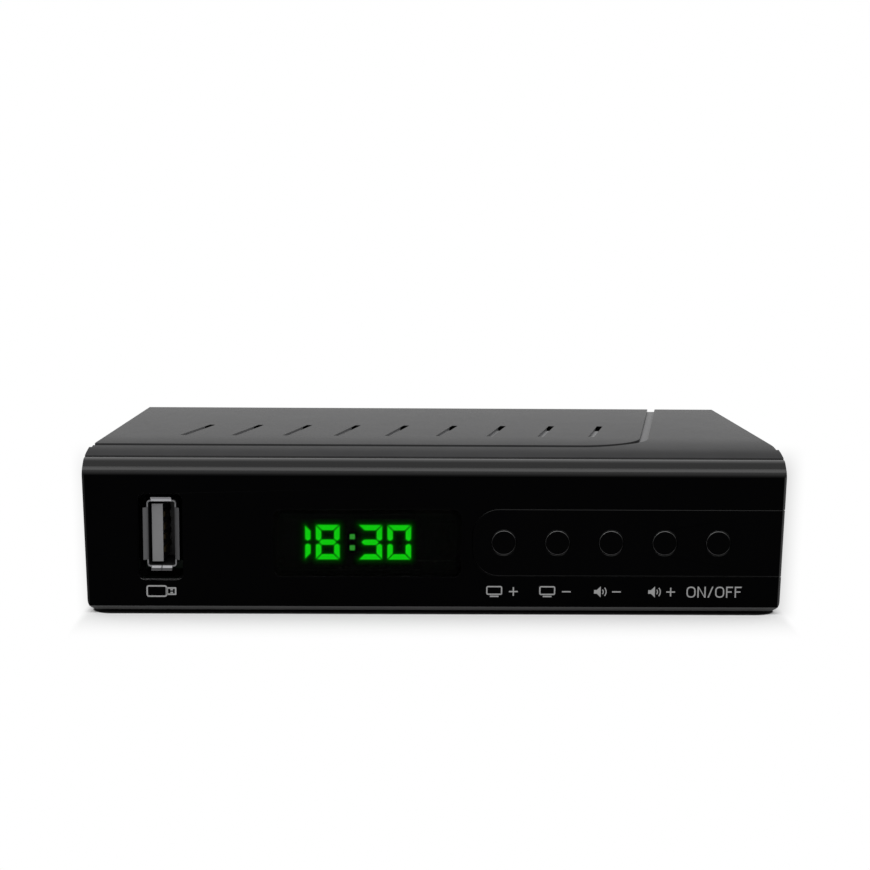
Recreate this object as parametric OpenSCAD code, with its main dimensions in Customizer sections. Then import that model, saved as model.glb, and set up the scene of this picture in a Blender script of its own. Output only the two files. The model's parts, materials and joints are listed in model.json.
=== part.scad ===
// Compact cable TV receiver: a plastic case around a main board and a front board, with a
// clock display, a row of push buttons, a USB socket in front and a row of sockets behind.
// Millimetres. X runs to the right, Y from the front to the back, Z up from the floor.
// The origin lies on the floor, in the middle of the whole object, rear sockets included.
// Inside the modules Y is counted from the front face, and piece() shifts it to the origin.

/* [Case] */
// Width of the case behind its front
body_w = 133.9; // [132:0.1:150]
// Height of the case above the floor
body_h = 31.7; // [30:0.1:40]
// Depth from the front face to the back edge of the case
body_d = 75; // [74:1:100]
// Thickness of the cover and the tray
wall = 2; // [1.8:0.1:2.4]
// How far the front stands out past the body on each side
flare = 0.5; // [0.3:0.1:1.2]
// Length of the flared end of the cover and the tray, counted from the front face
flare_end = 7.5; // [6:0.5:9.5]
// How much each side leans in between the top of the front face and the bottom
draft = 0.65; // [0.5:0.05:2]
// Radius of the two long lower corners
corner_r = 2; // [1:0.1:2.6]
// Height of the joint between the cover and the tray
split_h = 6; // [5.4:0.1:6.8]

/* [Front] */
// Thickness of the front plate
front_wall = 2.4; // [2.2:0.1:3]
// How far the rim of the front reaches back past its plate
front_rim = 0.6; // [0.4:0.1:1]
// Gap seen between the front and the case
seam = 0.3; // [0.1:0.05:0.5]
// Distance behind the face where the top becomes flat
brow_run = 12; // [10:0.5:14]
// How far the top has dropped at the seam
brow_drop = 1.4; // [1:0.1:2]
// Slope of the band between the seam and the face
band_angle = 46; // [40:1:52]
// Radius between that band and the face
brow_r = 2.6; // [1.4:0.1:2.8]
// Radius between that band and the top edge of the front
band_top_r = 2; // [0.8:0.1:2.2]
// How far the top edge of the front lies below the edge of the cover
front_drop = 0.3; // [0.1:0.05:0.5]
// Size of the slanted edge under the face
toe = 0.9; // [0.5:0.1:1.2]
// Length of the lip that plugs the front into the case
lip_len = 4; // [3:0.5:5]
// Thickness of that lip
lip_t = 1.2; // [1:0.1:1.6]

/* [Top] */
// Width of the trim groove
groove_w = 1.7; // [1:0.1:2]
// Depth of the trim groove
groove_deep = 0.6; // [0.4:0.1:1]
// How far the groove's front leg starts before the flat of the top
groove_lead = 3.2; // [0:0.1:4]
// Place of the groove's side leg where it would meet the front leg
groove_x = 40.9; // [36:0.1:44]
// Lean of the groove's side leg
groove_lean = 10; // [5:0.2:12]
// Radius of the groove's corner
groove_r = 14; // [8:0.5:16]
// Number of vent slots
vent_count = 9; // [5:1:9]
// Distance between the vent slots
vent_pitch = 10.48; // [8:0.02:11]
// Middle of the row of vent slots
vent_x = -7.65; // [-10:0.05:-5]
// Distance of the vent slots from the front face
vent_y = 23.4; // [22:0.1:28]
// Length of a vent slot
vent_len = 18.2; // [14:0.1:22]
// Width of a vent slot
vent_w = 1.2; // [0.8:0.1:1.6]
// Lean of the vent slots
vent_lean = 12.2; // [6:0.2:14]
// Length of the open end of a vent slot
vent_open = 5; // [4:0.5:10]
// Depth of a vent slot in front of its open end
vent_deep = 0.45; // [0.3:0.05:1]

/* [Clock display] */
// Distance between the window and the button strip
window_gap = 2.25; // [1.5:0.05:3]
// Width of the window
window_w = 36; // [34:0.5:38]
// Height of the window
window_h = 13; // [12:0.5:14]
// Thickness of the window and the button strip
inlay_t = 1.2; // [1:0.1:1.4]
// Middle of the digits above the floor
digit_z = 13.6; // [13.1:0.05:13.9]
// Distance from the window's left edge to the digit before the colon
digit_inset = 7.97; // [7.5:0.01:8.5]
// Width of a digit
digit_w = 4.58; // [4:0.02:4.8]
// Height of a digit
digit_h = 6.79; // [6:0.01:7.2]
// Width of a segment
stroke = 1.04; // [0.8:0.02:1.1]
// Distance between neighbouring digits
digit_pitch = 5.62; // [5.4:0.02:5.8]
// Extra distance that the colon takes
colon_room = 2.61; // [2.2:0.01:2.8]
// Size of a colon dot
colon_dot = 1; // [0.8:0.05:1.2]
// Depth of the display's housing
display_deep = 6.4; // [6:0.1:8]

/* [Buttons] */
// Diameter of a button
button_d = 4.7; // [4:0.1:5.6]
// Distance between buttons
button_pitch = 10.35; // [9.6:0.05:10.6]
// Distance from the side of the case to the last button
button_edge = 12.3; // [11:0.1:13.5]
// Middle of the buttons above the floor
button_z = 14.1; // [13.1:0.1:14.7]
// Gap around a button
button_gap = 0.12; // [0.08:0.01:0.2]
// Travel of a button
button_travel = 0.3; // [0.2:0.05:0.4]
// Distance from the middle of the first button to the rounded end of the strip
strip_reach = 6; // [5:0.1:7]
// Height of the button strip
strip_h = 13; // [11:0.1:14]
// Radius of the strip's rounded end
strip_r = 5.1; // [3:0.1:5.4]
// Width of a switch
switch_w = 6; // [5:0.1:6.4]
// Height of a switch without its plunger
switch_h = 3.5; // [3.2:0.1:3.8]
// Diameter of a switch plunger
plunger_d = 3.5; // [2.6:0.1:3.8]

/* [USB socket] */
// Distance from the side of the case to the middle of the socket
usb_edge = 14.3; // [14:0.05:16]
// Middle of the socket above the floor
usb_z = 15.4; // [14.9:0.05:15.9]
// Width of the shell
usb_w = 5.7; // [5.6:0.05:5.8]
// Height of the shell, which stands on its narrow side
usb_h = 13.1; // [13:0.05:13.2]
// Length of the shell
usb_len = 14; // [12:0.5:16]
// Sheet thickness of the shells
sheet = 0.3; // [0.25:0.05:0.4]
// Reach of the shell's flared flaps
flap = 1.1; // [0.8:0.1:1.2]

/* [Boards] */
// Thickness of the boards
board_t = 1.6; // [1.2:0.1:1.8]
// Room between the front board and the ceiling
front_board_room = 2.7; // [2.4:0.1:3.2]
// Diameter of the posts that carry the boards
post_d = 5; // [4.4:0.1:5.6]
// Diameter of the board screws
board_screw_d = 2; // [1.8:0.1:2.2]
// Diameter of the case screws
case_screw_d = 2.6; // [2.4:0.1:3]
// Diameter of the columns under the cover
column_d = 7; // [6.6:0.1:7.4]

/* [Rear sockets] */
// Thickness of the rear panel
rear_t = 1.8; // [1.5:0.1:2]
// How far the rear panel is set in from the back edge
rear_inset = 1; // [0.8:0.1:1.5]
// How far the aerial sockets stand out behind the case
rf_reach = 9.5; // [8:0.5:12]
// Outer diameter of the aerial input
rf_in_d = 11; // [10.8:0.1:11.4]
// Bore of the aerial input
rf_in_bore = 9.6; // [9.55:0.05:9.8]
// Outer diameter of the aerial output
rf_out_d = 9.5; // [9.4:0.05:9.55]
// Distance between the aerial sockets
rf_pitch = 13.2; // [13:0.1:14]
// Middle of the aerial sockets above the main board
rf_rise = 7; // [6.6:0.1:7.4]
// Width of the HDMI shell
hdmi_w = 15; // [14.8:0.1:15.2]
// Height of the HDMI shell
hdmi_h = 5.6; // [5.4:0.1:5.8]
// Middle of the HDMI socket from the middle of the case
hdmi_x = 14; // [12:0.5:16]
// Middle of the audio and video jack from the middle of the case
av_x = -8; // [-12:0.5:-6]
// Bore of the audio and video jack
av_bore = 3.6; // [3.55:0.05:3.8]
// Bore of the power inlet
dc_bore = 6.3; // [6:0.1:6.5]
// Pin of the power inlet
dc_pin_d = 2; // [1.6:0.1:2.5]

/* [Feet] */
// How far the feet lift the case off the floor
foot_h = 0.6; // [0.5:0.1:1]
// Diameter of a foot
foot_d = 9; // [7:0.5:10]

/* [Hidden] */
$fn = 48;

// Colours
case_black = [0.10, 0.10, 0.11];
gloss_black = [0.02, 0.02, 0.02];
chip_black = [0.07, 0.07, 0.08];
board_green = [0.05, 0.30, 0.16];
bright_steel = [0.72, 0.72, 0.74];
light_grey = [0.60, 0.60, 0.60];
gilt = [0.85, 0.68, 0.30];
lit_green = [0.06, 0.85, 0.06];

// Clearances
fit = 0.12;            // between pieces of the case that plug together
inlay_gap = 0.06;      // around the window
strip_gap = 0.1;       // around the button strip
slide_gap = 0.08;      // between a plunger and its switch
press_gap = 0.05;      // between a screw or a contact and its hole
pass_gap = 0.2;        // around what passes through a panel
air = 0.5;             // between boards and the walls that they face
cut = 1;               // how far a cutting shape runs past what it cuts
edge_room = 1;         // between the main board and the columns
weld = 0.01;           // how far shapes of one piece run into each other

// Places along the depth, counted from the front face
front_depth = front_wall + front_rim;
seam_y = front_depth + seam;
rear_face = body_d - rear_inset;
rear_in = rear_face - rear_t;
rf_end = body_d + rf_reach;
front_y = -rf_end / 2;

// Heights
case_z = foot_h;
floor_z = case_z + wall;
roof_z = body_h - wall;
seam_z = body_h - brow_drop;
front_top_z = seam_z - front_drop;
turn = 90 - band_angle;
band_start_y = brow_r * (1 - cos(turn));
band_end_y = front_depth - band_top_r * sin(band_angle);
band_rise = (band_end_y - band_start_y) * tan(band_angle) + band_top_r * (1 - cos(band_angle));
knee_z = front_top_z - band_rise - brow_r * sin(turn);
ceiling_rise = 0.8;    // height of the ceiling behind the front above the knee
ceiling_z = knee_z + ceiling_rise;
board_top = usb_z - usb_h / 2;
board_bottom = board_top - board_t;

// Slope and half width of the sides, which lean in below the knee
lean = atan(draft / (knee_z - case_z));
function half_w(z, grow) = body_w / 2 + grow - draft * max(0, knee_z - z) / (knee_z - case_z);

// Points of an arc from one angle to another
function arc(centre, r, from, to, steps) =
    [for (i = [0:steps]) let (a = from + (to - from) * i / steps) centre + r * [cos(a), sin(a)]];

// Cross-section of the case, wider by grow on each side
function right_side(grow, z_lo, z_hi, r) =
    let (x = half_w(z_lo, grow) - r * (1 - sin(lean)) / cos(lean))
    concat(arc([x, z_lo + r], r, -90, -lean, 6),
        [[half_w(knee_z, grow), knee_z], [half_w(z_hi, grow), z_hi]]);
function backwards(points) = [for (i = [len(points) - 1:-1:0]) points[i]];
function flipped(points) = [for (p = backwards(points)) [-p.x, p.y]];
function section(grow, z_lo, z_hi, r) =
    let (side = right_side(grow, z_lo, z_hi, r))
    concat(side, flipped(side));
inner_r = max(corner_r - wall, 0.3);

// Columns and case screws
column_sink = 0.3;     // how far a column runs into the side wall
column_room = 2;       // behind the lip, on top of the column's own width
column_back = 1.5;     // between a column and the rear panel
column_x = half_w(split_h, 0) - wall - column_d / 2 + column_sink;
column_front = front_depth + lip_len + column_d + column_room;
column_rear = rear_in - column_d / 2 - column_back;
column_places = [for (sx = [-1, 1]) for (y = [column_front, column_rear]) [sx * column_x, y]];
screw_head_d = 2 * case_screw_d;
screw_head_h = 0.8 * case_screw_d;
screw_seat = 3;        // height of the case screws' seat above the underside of the tray
screw_bite = 8;        // length of a case screw in its column
screw_hole = 12;       // depth of the hole in a column

// Main board
board_w = 2 * (column_x - column_d / 2 - edge_room);
board_y = front_depth + lip_len + air;
board_rear = rear_in - air;
post_edge = 3.5;       // from the side of the main board to its posts
post_front = 16;       // from the front of the main board to its first posts
post_rear = 26;        // from the rear panel to its last posts
board_post_x = board_w / 2 - post_edge;
board_post_ys = [board_y + post_front, rear_in - post_rear];
board_posts = [for (sx = [-1, 1]) for (y = board_post_ys) [sx * board_post_x, y]];
board_head_d = 1.9 * board_screw_d;
board_head_h = 0.7 * board_screw_d;
board_screw_len = 5;

// Front board and what stands on it
window_rise = 0.3;     // of the window's middle above the digits
window_r = 1.5;
window_ledge = 1;      // that the window rests on
display_gap = 0.2;     // between the front plate and the display
display_face = front_wall + display_gap;
front_board_y = display_face + display_deep;
front_board_back = front_board_y + board_t;
front_board_top = ceiling_z - front_board_room;
last_button_x = body_w / 2 - button_edge;
button_xs = [for (i = [0:4]) last_button_x - (4 - i) * button_pitch];
strip_left = button_xs[0] - strip_reach;
window_x = strip_left - window_gap - window_w / 2;
digit_x = window_x - window_w / 2 + digit_inset;
display_rim = 0.8;     // around the digits
display_w = 3 * digit_pitch + digit_w + colon_room + 2 * display_rim;
display_h = 2 * (digit_z - board_top - fit);
display_x = digit_x + (digit_pitch + digit_w + colon_room) / 2;
post_rim = 0.4;        // from the edge of the front board to its posts
front_post_z = front_board_top - post_d / 2 - post_rim;
front_post_xs = [display_x - display_w / 2 - post_d / 2 - air, button_xs[0] - button_pitch / 2,
    last_button_x + (switch_w + post_d) / 2 + air];
front_board_left = front_post_xs[0] - post_d / 2 - post_rim;
front_board_right = front_post_xs[2] + post_d / 2 + post_rim;
ir_edge = 3.5;         // from the window's right edge to the middle of the eye
ir_x = window_x + window_w / 2 - ir_edge;
flange_t = 1;
flange_rim = 0.7;      // how far a button's flange stands out
flange_d = button_d + 2 * flange_rim;
stem_rim = 0.25;       // how far a plunger stands out past the button's stem
switch_face = front_board_y - switch_h;
plunger_out = 1;
plunger_tip = switch_face - plunger_out;
plunger_len = 2.7;

// USB socket
usb_x = -body_w / 2 + usb_edge;
usb_face = 0.4;
usb_r = 0.7;
usb_side_room = 0.25;  // between the side flaps and the recess
usb_end_room = 0.6;    // between the end flaps and the recess
usb_frame_w = usb_w + 2 * (flap + usb_side_room);
usb_frame_h = usb_h + 2 * (flap + usb_end_room);
usb_frame_r = 1.2;
usb_frame_drop = 0.35;
usb_step = 0.2;        // width and depth of the step round the recess

// Rear sockets
tuner_w = 25;
tuner_d = 18;
tuner_h = 13.4;
tuner_x = board_w / 2 - tuner_w / 2 - edge_room;
tuner_gap = 2;         // between the tuner and the rear panel
tuner_back = rear_in - tuner_gap;
rf_in_x = tuner_x + rf_pitch / 2;
rf_out_x = tuner_x - rf_pitch / 2;
rf_z = board_top + rf_rise;
rf_wall = 0.7;
rf_collar = 0.5;
rf_disc = 4;
rf_contact_d = 4;
rf_pin_d = 2.35;
rf_core_in = 1;        // how far the centre contacts stay inside their sleeves
rf_out_bore = rf_out_d - 2 * rf_wall;
hdmi_len = 11;
hdmi_sheet = sheet + 0.1;
av_w = 7;
av_h = 6;
av_len = 12;
av_barrel_d = 6;
av_bore_len = 14;
av_z = board_top + av_h / 2;
dc_edge = 12;          // from the side of the main board to the power inlet
dc_rise = 0.3;         // of the bore above the middle of the power inlet
dc_pin_in = 1;         // how far its pin stays inside
dc_x = -board_w / 2 + dc_edge;
dc_w = 9;
dc_h = 11;
dc_len = 14;
dc_bore_len = 9.5;
dc_z = board_top + dc_h / 2 + dc_rise;

// Parts in the middle of the main board
chip_x = 6;
chip_back = 31;        // from the front of the main board to the middle of the decoder chip
chip_y = board_y + chip_back;
chip_w = 15;
chip_h = 1.4;
pad_h = 0.5;
sink_w = 26;
sink_base = 2;
sink_h = 9;
sink_fins = 8;
fin_t = 1;
dimple_d = 1;
dimple_deep = 0.2;
memory_w = 9;
memory_d = 13;
memory_h = 1.1;
memory_x = chip_x - sink_w / 2 - memory_w;
flash_w = 5.2;
flash_h = 1.8;
flash_x = chip_x + sink_w / 2 + flash_w;
flash_y = chip_y + 1.5 * flash_w;
crystal_w = 11;
crystal_d = 4.6;
crystal_h = 3.6;
link_step = 4;         // from the middle button to the middle of the flat cable
link_rise = 10;        // of the front socket above the main board
link_x = button_xs[2] + link_step;
link_w = 12;
link_z = board_top + link_rise;
link_socket_d = 3.5;
link_socket_h = 4;
link_main_y = board_y + post_front;
ribbon_w = 10;
ribbon_t = 0.6;
ribbon_r = 4;

// Power supply parts, in rows beside the power inlet
power_pitch = 9;       // between the parts of a row
power_step = 11.3;     // from the power inlet to the first row
power_x = dc_x + power_step;
can_r = 3.15;
can_h = 8;
can_back = 10;         // from the rear panel to the first capacitors
coil_w = 7;
coil_h = 4;
coil_foot = 1;
coil_back = 27;        // from the rear panel to the first coil
reg_w = 6.4;
reg_d = 5;
reg_h = 2.3;
reg_back = 23;         // from the rear panel to the first regulator

// Feet
foot_sink = 0.8;       // how deep a foot sits in the tray
foot_room = 1;         // between a foot and the flared end or a column
foot_back = 3;         // between a foot and the rear panel
foot_x = column_x - column_d - foot_d / 2 - foot_room;
foot_ys = [flare_end + foot_d / 2 + foot_room, rear_in - foot_d / 2 - foot_back];
foot_places = [for (sx = [-1, 1]) for (y = foot_ys) [sx * foot_x, y]];

// A piece in its colour, moved from the front face to the origin
module piece(tint) {
    color(tint) translate([0, front_y, 0]) children();
}

// A flat shape in X and Z, drawn out along Y
module along_y(y0, y1) {
    translate([0, y1, 0]) rotate([90, 0, 0]) linear_extrude(y1 - y0) children();
}

// A flat shape in Y and Z, drawn out along X
module along_x(x0, x1) {
    translate([x0, 0, 0]) rotate([90, 0, 90]) linear_extrude(x1 - x0) children();
}

// A box between two corners
module block(low, high) {
    translate(low) cube(high - low);
}

// A round bar along Y
module rod(d, x, z, y0, y1) {
    translate([x, y0, z]) rotate([-90, 0, 0]) cylinder(d = d, h = y1 - y0);
}

// A rectangle with round corners about its middle
module rounded(w, h, r) {
    square([w - 2 * r, h], center = true);
    square([w, h - 2 * r], center = true);
    for (sx = [-1, 1]) for (sy = [-1, 1]) translate([sx * (w / 2 - r), sy * (h / 2 - r)]) circle(r);
}

// A cross-headed screw: its head stands on Z = 0 and its shank runs down
module screw(d, shank, head_d, head_h) {
    difference() {
        union() {
            cylinder(d = head_d, h = head_h);
            translate([0, 0, -shank]) cylinder(d = d, h = shank);
        }
        for (turn = [0, 90])
            rotate(turn) translate([-head_d / 3, -head_d / 14, head_h / 2])
                cube([head_d / 1.5, head_d / 7, head_h]);
    }
}

// Outside of the case without its front, as one solid
module case_block() {
    run = brow_run - seam_y;
    brow = (run * run + brow_drop * brow_drop) / (2 * brow_drop);
    sweep = asin(run / brow);
    intersection() {
        union() {
            along_y(seam_y, body_d) polygon(section(0, case_z, body_h, corner_r));
            along_y(seam_y, flare_end) polygon(section(flare, case_z, body_h, corner_r));
        }
        along_x(-body_w, body_w) polygon(concat(
            [[seam_y, 0]],
            arc([brow_run, body_h - brow], brow, 90 + sweep, 90, 10),
            [[body_d, body_h], [body_d, 0]]));
    }
}

// Walls of the case, hollow and with a slot for the rear panel
module case_walls() {
    difference() {
        case_block();
        along_y(brow_run, body_d + cut) polygon(section(-wall, floor_z, roof_z, inner_r));
        along_y(0, brow_run + cut) polygon(section(-wall, floor_z, ceiling_z, inner_r));
        along_y(rear_in - press_gap, rear_face + press_gap)
            polygon(section(-wall / 2, floor_z - wall / 2, roof_z + wall / 2, inner_r));
    }
}

// Everything above or below the joint of the case
module upper_half() {
    block([-body_w, -cut, split_h], [body_w, body_d + cut, body_h + cut]);
}
module lower_half() {
    block([-body_w, -cut, 0], [body_w, body_d + cut, split_h]);
}

// The trim groove, which runs along the front, turns a corner and then leans towards the back
groove_corner = [
    groove_x + groove_r * tan(groove_lean) - groove_r / cos(groove_lean),
    brow_run - groove_lead + groove_w / 2 + groove_r];
function groove_edge(side) = concat(
    [[-body_w, groove_corner.y - groove_r - side]],
    arc(groove_corner, groove_r + side, -90, -groove_lean, 12),
    [groove_corner + (groove_r + side) * [cos(groove_lean), -sin(groove_lean)]
        + body_d * [sin(groove_lean), cos(groove_lean)]]);
module groove_path() {
    translate([0, 0, body_h - groove_deep]) linear_extrude(groove_deep + cut)
        polygon(concat(groove_edge(groove_w / 2), backwards(groove_edge(-groove_w / 2))));
}

// One vent slot: a shallow recess with an open rear end
module vent() {
    translate([-vent_w / 2, 0, 0]) {
        translate([0, 0, -vent_deep]) cube([vent_w, vent_len, vent_deep + cut]);
        translate([0, vent_len - vent_open, -2 * wall]) cube([vent_w, vent_open, 3 * wall]);
    }
}

module top_cover() {
    piece(case_black) difference() {
        union() {
            intersection() {
                case_walls();
                upper_half();
            }
            for (p = column_places)
                translate([p.x, p.y, split_h]) cylinder(d = column_d, h = roof_z - split_h + wall / 2);
        }
        for (p = column_places)
            translate([p.x, p.y, split_h - cut]) cylinder(d = case_screw_d, h = screw_hole + cut);
        groove_path();
        for (i = [0:vent_count - 1])
            translate([vent_x + (i - (vent_count - 1) / 2) * vent_pitch, vent_y, body_h])
                translate([-vent_len / 2 * sin(vent_lean), 0, 0]) rotate(-vent_lean) vent();
    }
}

module bottom_tray() {
    hole_d = case_screw_d + 2 * pass_gap;
    slots = 9;
    piece(case_black) difference() {
        union() {
            intersection() {
                case_walls();
                lower_half();
            }
            for (p = column_places)
                translate([p.x, p.y, case_z]) cylinder(d = column_d, h = split_h - case_z);
            for (p = board_posts)
                translate([p.x, p.y, case_z]) cylinder(d = post_d, h = board_bottom - case_z);
        }
        for (p = column_places) translate([p.x, p.y, case_z - cut]) {
            cylinder(d = hole_d, h = split_h - case_z + 2 * cut);
            cylinder(d = screw_head_d + 2 * pass_gap, h = screw_seat + cut);
        }
        for (p = board_posts)
            translate([p.x, p.y, floor_z]) cylinder(d = board_screw_d, h = board_bottom);
        for (p = foot_places)
            translate([p.x, p.y, case_z - cut]) cylinder(d = foot_d + 2 * fit, h = foot_sink + cut);
        for (i = [0:slots - 1]) translate([chip_x + (i - (slots - 1) / 2) * 2 * wall, chip_y, 0])
            linear_extrude(floor_z + cut) rounded(wall, sink_w, wall / 2 - press_gap);
    }
}

module rear_panel() {
    grow = -wall / 2 - fit;
    piece(case_black) difference() {
        along_y(rear_in, rear_face)
            polygon(section(grow, floor_z - wall / 2 + fit, roof_z + wall / 2 - fit, inner_r));
        rod(rf_in_d + 2 * (rf_collar + pass_gap), rf_in_x, rf_z, rear_in - cut, body_d);
        rod(rf_out_d + 2 * (rf_collar + pass_gap), rf_out_x, rf_z, rear_in - cut, body_d);
        rod(av_barrel_d + 2 * pass_gap, av_x, av_z, rear_in - cut, body_d);
        along_y(rear_in - cut, body_d) {
            translate([hdmi_x, board_top + hdmi_h / 2])
                square([hdmi_w + 2 * pass_gap, hdmi_h + 2 * pass_gap], center = true);
            translate([dc_x, board_top + dc_h / 2])
                square([dc_w + 2 * pass_gap, dc_h + 2 * pass_gap], center = true);
        }
    }
}

// Outside of the front as one solid
module front_block() {
    intersection() {
        along_y(0, front_depth) polygon(section(flare, case_z, body_h, corner_r));
        along_x(-body_w, body_w) polygon(concat(
            [[toe, case_z], [0, case_z + toe]],
            arc([brow_r, knee_z], brow_r, 180, 180 - turn, 8),
            arc([front_depth, front_top_z - band_top_r], band_top_r, 90 + band_angle, 90, 6),
            [[front_depth, case_z]]));
    }
}

// Shape of the button strip, which runs out over the right side
module strip_shape(grow) {
    r = strip_r + grow;
    h = strip_h + 2 * grow;
    left = strip_left - grow;
    translate([left, button_z - h / 2]) {
        translate([r, 0]) square([body_w, h]);
        translate([0, r]) square([body_w, h - 2 * r]);
        translate([r, r]) circle(r);
        translate([r, h - r]) circle(r);
    }
}

module window_shape(grow) {
    translate([window_x, digit_z + window_rise])
        rounded(window_w + 2 * grow, window_h + 2 * grow, window_r + grow);
}

module front_panel() {
    piece(gloss_black) difference() {
        union() {
            difference() {
                front_block();
                along_y(front_wall, front_depth + cut) polygon(section(-wall, floor_z, ceiling_z, inner_r));
            }
            difference() {
                along_y(front_wall, front_depth + lip_len)
                    polygon(section(-wall - fit, floor_z + fit, ceiling_z - fit, inner_r));
                along_y(front_wall, front_depth + lip_len + cut)
                    polygon(section(-wall - fit - lip_t, floor_z + fit + lip_t,
                        ceiling_z - fit - lip_t / 2, inner_r));
            }
            for (x = front_post_xs) rod(post_d, x, front_post_z, front_wall, front_board_y);
        }
        along_y(-cut, inlay_t) window_shape(inlay_gap);
        along_y(0, front_wall + cut) window_shape(-window_ledge);
        along_y(-cut, inlay_t) strip_shape(strip_gap);
        along_y(-cut, front_wall + cut) usb_frame(0);
        along_y(-cut, usb_step) usb_frame(usb_step);
        for (x = button_xs) rod(button_d + 2 * button_gap, x, button_z, 0, front_wall + cut);
        for (x = front_post_xs)
            rod(board_screw_d, x, front_post_z, front_wall + flange_t, front_board_y + cut);
    }
}

// Outline of the recess around the USB socket, wider by grow on each side
module usb_frame(grow) {
    translate([usb_x, usb_z - usb_frame_drop])
        rounded(usb_frame_w + 2 * grow, usb_frame_h + 2 * grow, usb_frame_r + grow);
}

module display_window() {
    piece([0.03, 0.04, 0.03, 0.6]) along_y(0, inlay_t) window_shape(0);
}

module button_strip() {
    piece(gloss_black) difference() {
        intersection() {
            front_block();
            along_y(0, inlay_t) strip_shape(0);
        }
        for (x = button_xs) rod(button_d + 2 * button_gap, x, button_z, -cut, front_wall);
    }
}

module rubber_feet() {
    piece([0.06, 0.06, 0.06]) for (p = foot_places) translate([p.x, p.y, 0])
        rotate_extrude() polygon([[0, 0], [foot_d / 2 - foot_h / 2, 0], [foot_d / 2, foot_h / 2],
            [foot_d / 2, case_z + foot_sink], [0, case_z + foot_sink]]);
}

module case_screws() {
    shank = split_h - case_z - screw_seat + screw_bite;
    piece(bright_steel) for (p = column_places) translate([p.x, p.y, case_z + screw_seat]) rotate([180, 0, 0])
        screw(case_screw_d - 2 * press_gap, shank, screw_head_d, screw_head_h);
}

// A button: its round cap, the flange that keeps it in the front, and the stem behind it
module push_button(i) {
    piece(gloss_black) {
        rod(button_d, button_xs[i], button_z, 0, front_wall);
        rod(flange_d, button_xs[i], button_z, front_wall, front_wall + flange_t);
        rod(plunger_d - 2 * stem_rim, button_xs[i], button_z, front_wall + flange_t, plunger_tip);
    }
}
module channel_up_button() push_button(0);
module channel_down_button() push_button(1);
module volume_down_button() push_button(2);
module volume_up_button() push_button(3);
module power_button() push_button(4);

// The plunger of a switch, which the button's stem rests on
module switch_plunger(i) {
    piece(light_grey) rod(plunger_d, button_xs[i], button_z, plunger_tip, plunger_tip + plunger_len);
}
module channel_up_plunger() switch_plunger(0);
module channel_down_plunger() switch_plunger(1);
module volume_down_plunger() switch_plunger(2);
module volume_up_plunger() switch_plunger(3);
module power_plunger() switch_plunger(4);

// The body of a switch, with the well that its plunger slides in
module push_switch(i) {
    x = button_xs[i];
    well = plunger_tip + plunger_len + button_travel + slide_gap;
    piece(chip_black) difference() {
        block([x - switch_w / 2, switch_face, button_z - switch_w / 2],
            [x + switch_w / 2, front_board_y, button_z + switch_w / 2]);
        rod(plunger_d + 2 * slide_gap, x, button_z, switch_face - cut, well);
    }
}
module channel_up_switch() push_switch(0);
module channel_down_switch() push_switch(1);
module volume_down_switch() push_switch(2);
module volume_up_switch() push_switch(3);
module power_switch() push_switch(4);

module front_board() {
    piece(board_green) difference() {
        block([front_board_left, front_board_y, board_top],
            [front_board_right, front_board_back, front_board_top]);
        for (x = front_post_xs)
            rod(board_screw_d + 2 * press_gap, x, front_post_z, front_board_y - cut, front_board_back + cut);
    }
}

// Segments of a digit in its own box: top, upper right, lower right, bottom, lower left, upper left, middle
seg_gap = 0.16;
half_h = digit_h / 2;
top_seg = [[seg_gap, digit_h], [digit_w - seg_gap, digit_h],
    [digit_w - stroke - seg_gap, digit_h - stroke], [stroke + seg_gap, digit_h - stroke]];
left_seg = [[0, digit_h - seg_gap], [stroke, digit_h - stroke - seg_gap],
    [stroke, half_h + 0.6 * stroke], [0.45 * stroke, half_h + 0.27 * stroke], [0, half_h + 0.6 * stroke]];
middle_seg = [[0.6 * stroke, half_h], [1.1 * stroke, half_h + stroke / 2],
    [digit_w - 1.1 * stroke, half_h + stroke / 2], [digit_w - 0.6 * stroke, half_h],
    [digit_w - 1.1 * stroke, half_h - stroke / 2], [1.1 * stroke, half_h - stroke / 2]];
function turned_over(points) = [for (p = points) [p.x, digit_h - p.y]];
function turned_round(points) = [for (p = points) [digit_w - p.x, p.y]];
segments = [top_seg, turned_round(left_seg), turned_round(turned_over(left_seg)), turned_over(top_seg),
    turned_over(left_seg), left_seg, middle_seg];

// Left edge of each full digit, and the segments that glow and stay dark in it
digit_lefts = [digit_x, digit_x + digit_pitch + colon_room, digit_x + 2 * digit_pitch + colon_room];
lit_in_digit = [[0, 1, 2, 3, 4, 5, 6], [0, 1, 2, 3, 6], [0, 1, 2, 3, 4, 5]];
dark_in_digit = [[], [4, 5], [6]];
half_digit_x = digit_x - digit_pitch + digit_w - stroke;
colon_step = 0.65;     // of the colon to the right of the middle of its room
colon_x = digit_x + digit_w + (digit_pitch - digit_w + colon_room) / 2 + colon_step;
colon_rise = 1.09;
segment_t = 0.8;

module lit_shapes() {
    translate([0, digit_z - half_h]) {
        for (i = [0:2]) for (s = lit_in_digit[i]) translate([digit_lefts[i], 0]) polygon(segments[s]);
        for (s = [4, 5]) translate([half_digit_x, 0]) polygon(segments[s]);
    }
    for (side = [-1, 1])
        translate([colon_x, digit_z + side * colon_rise]) square(colon_dot, center = true);
}

module dark_shapes() {
    translate([0, digit_z - half_h])
        for (i = [0:2]) for (s = dark_in_digit[i]) translate([digit_lefts[i], 0]) polygon(segments[s]);
}

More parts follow.
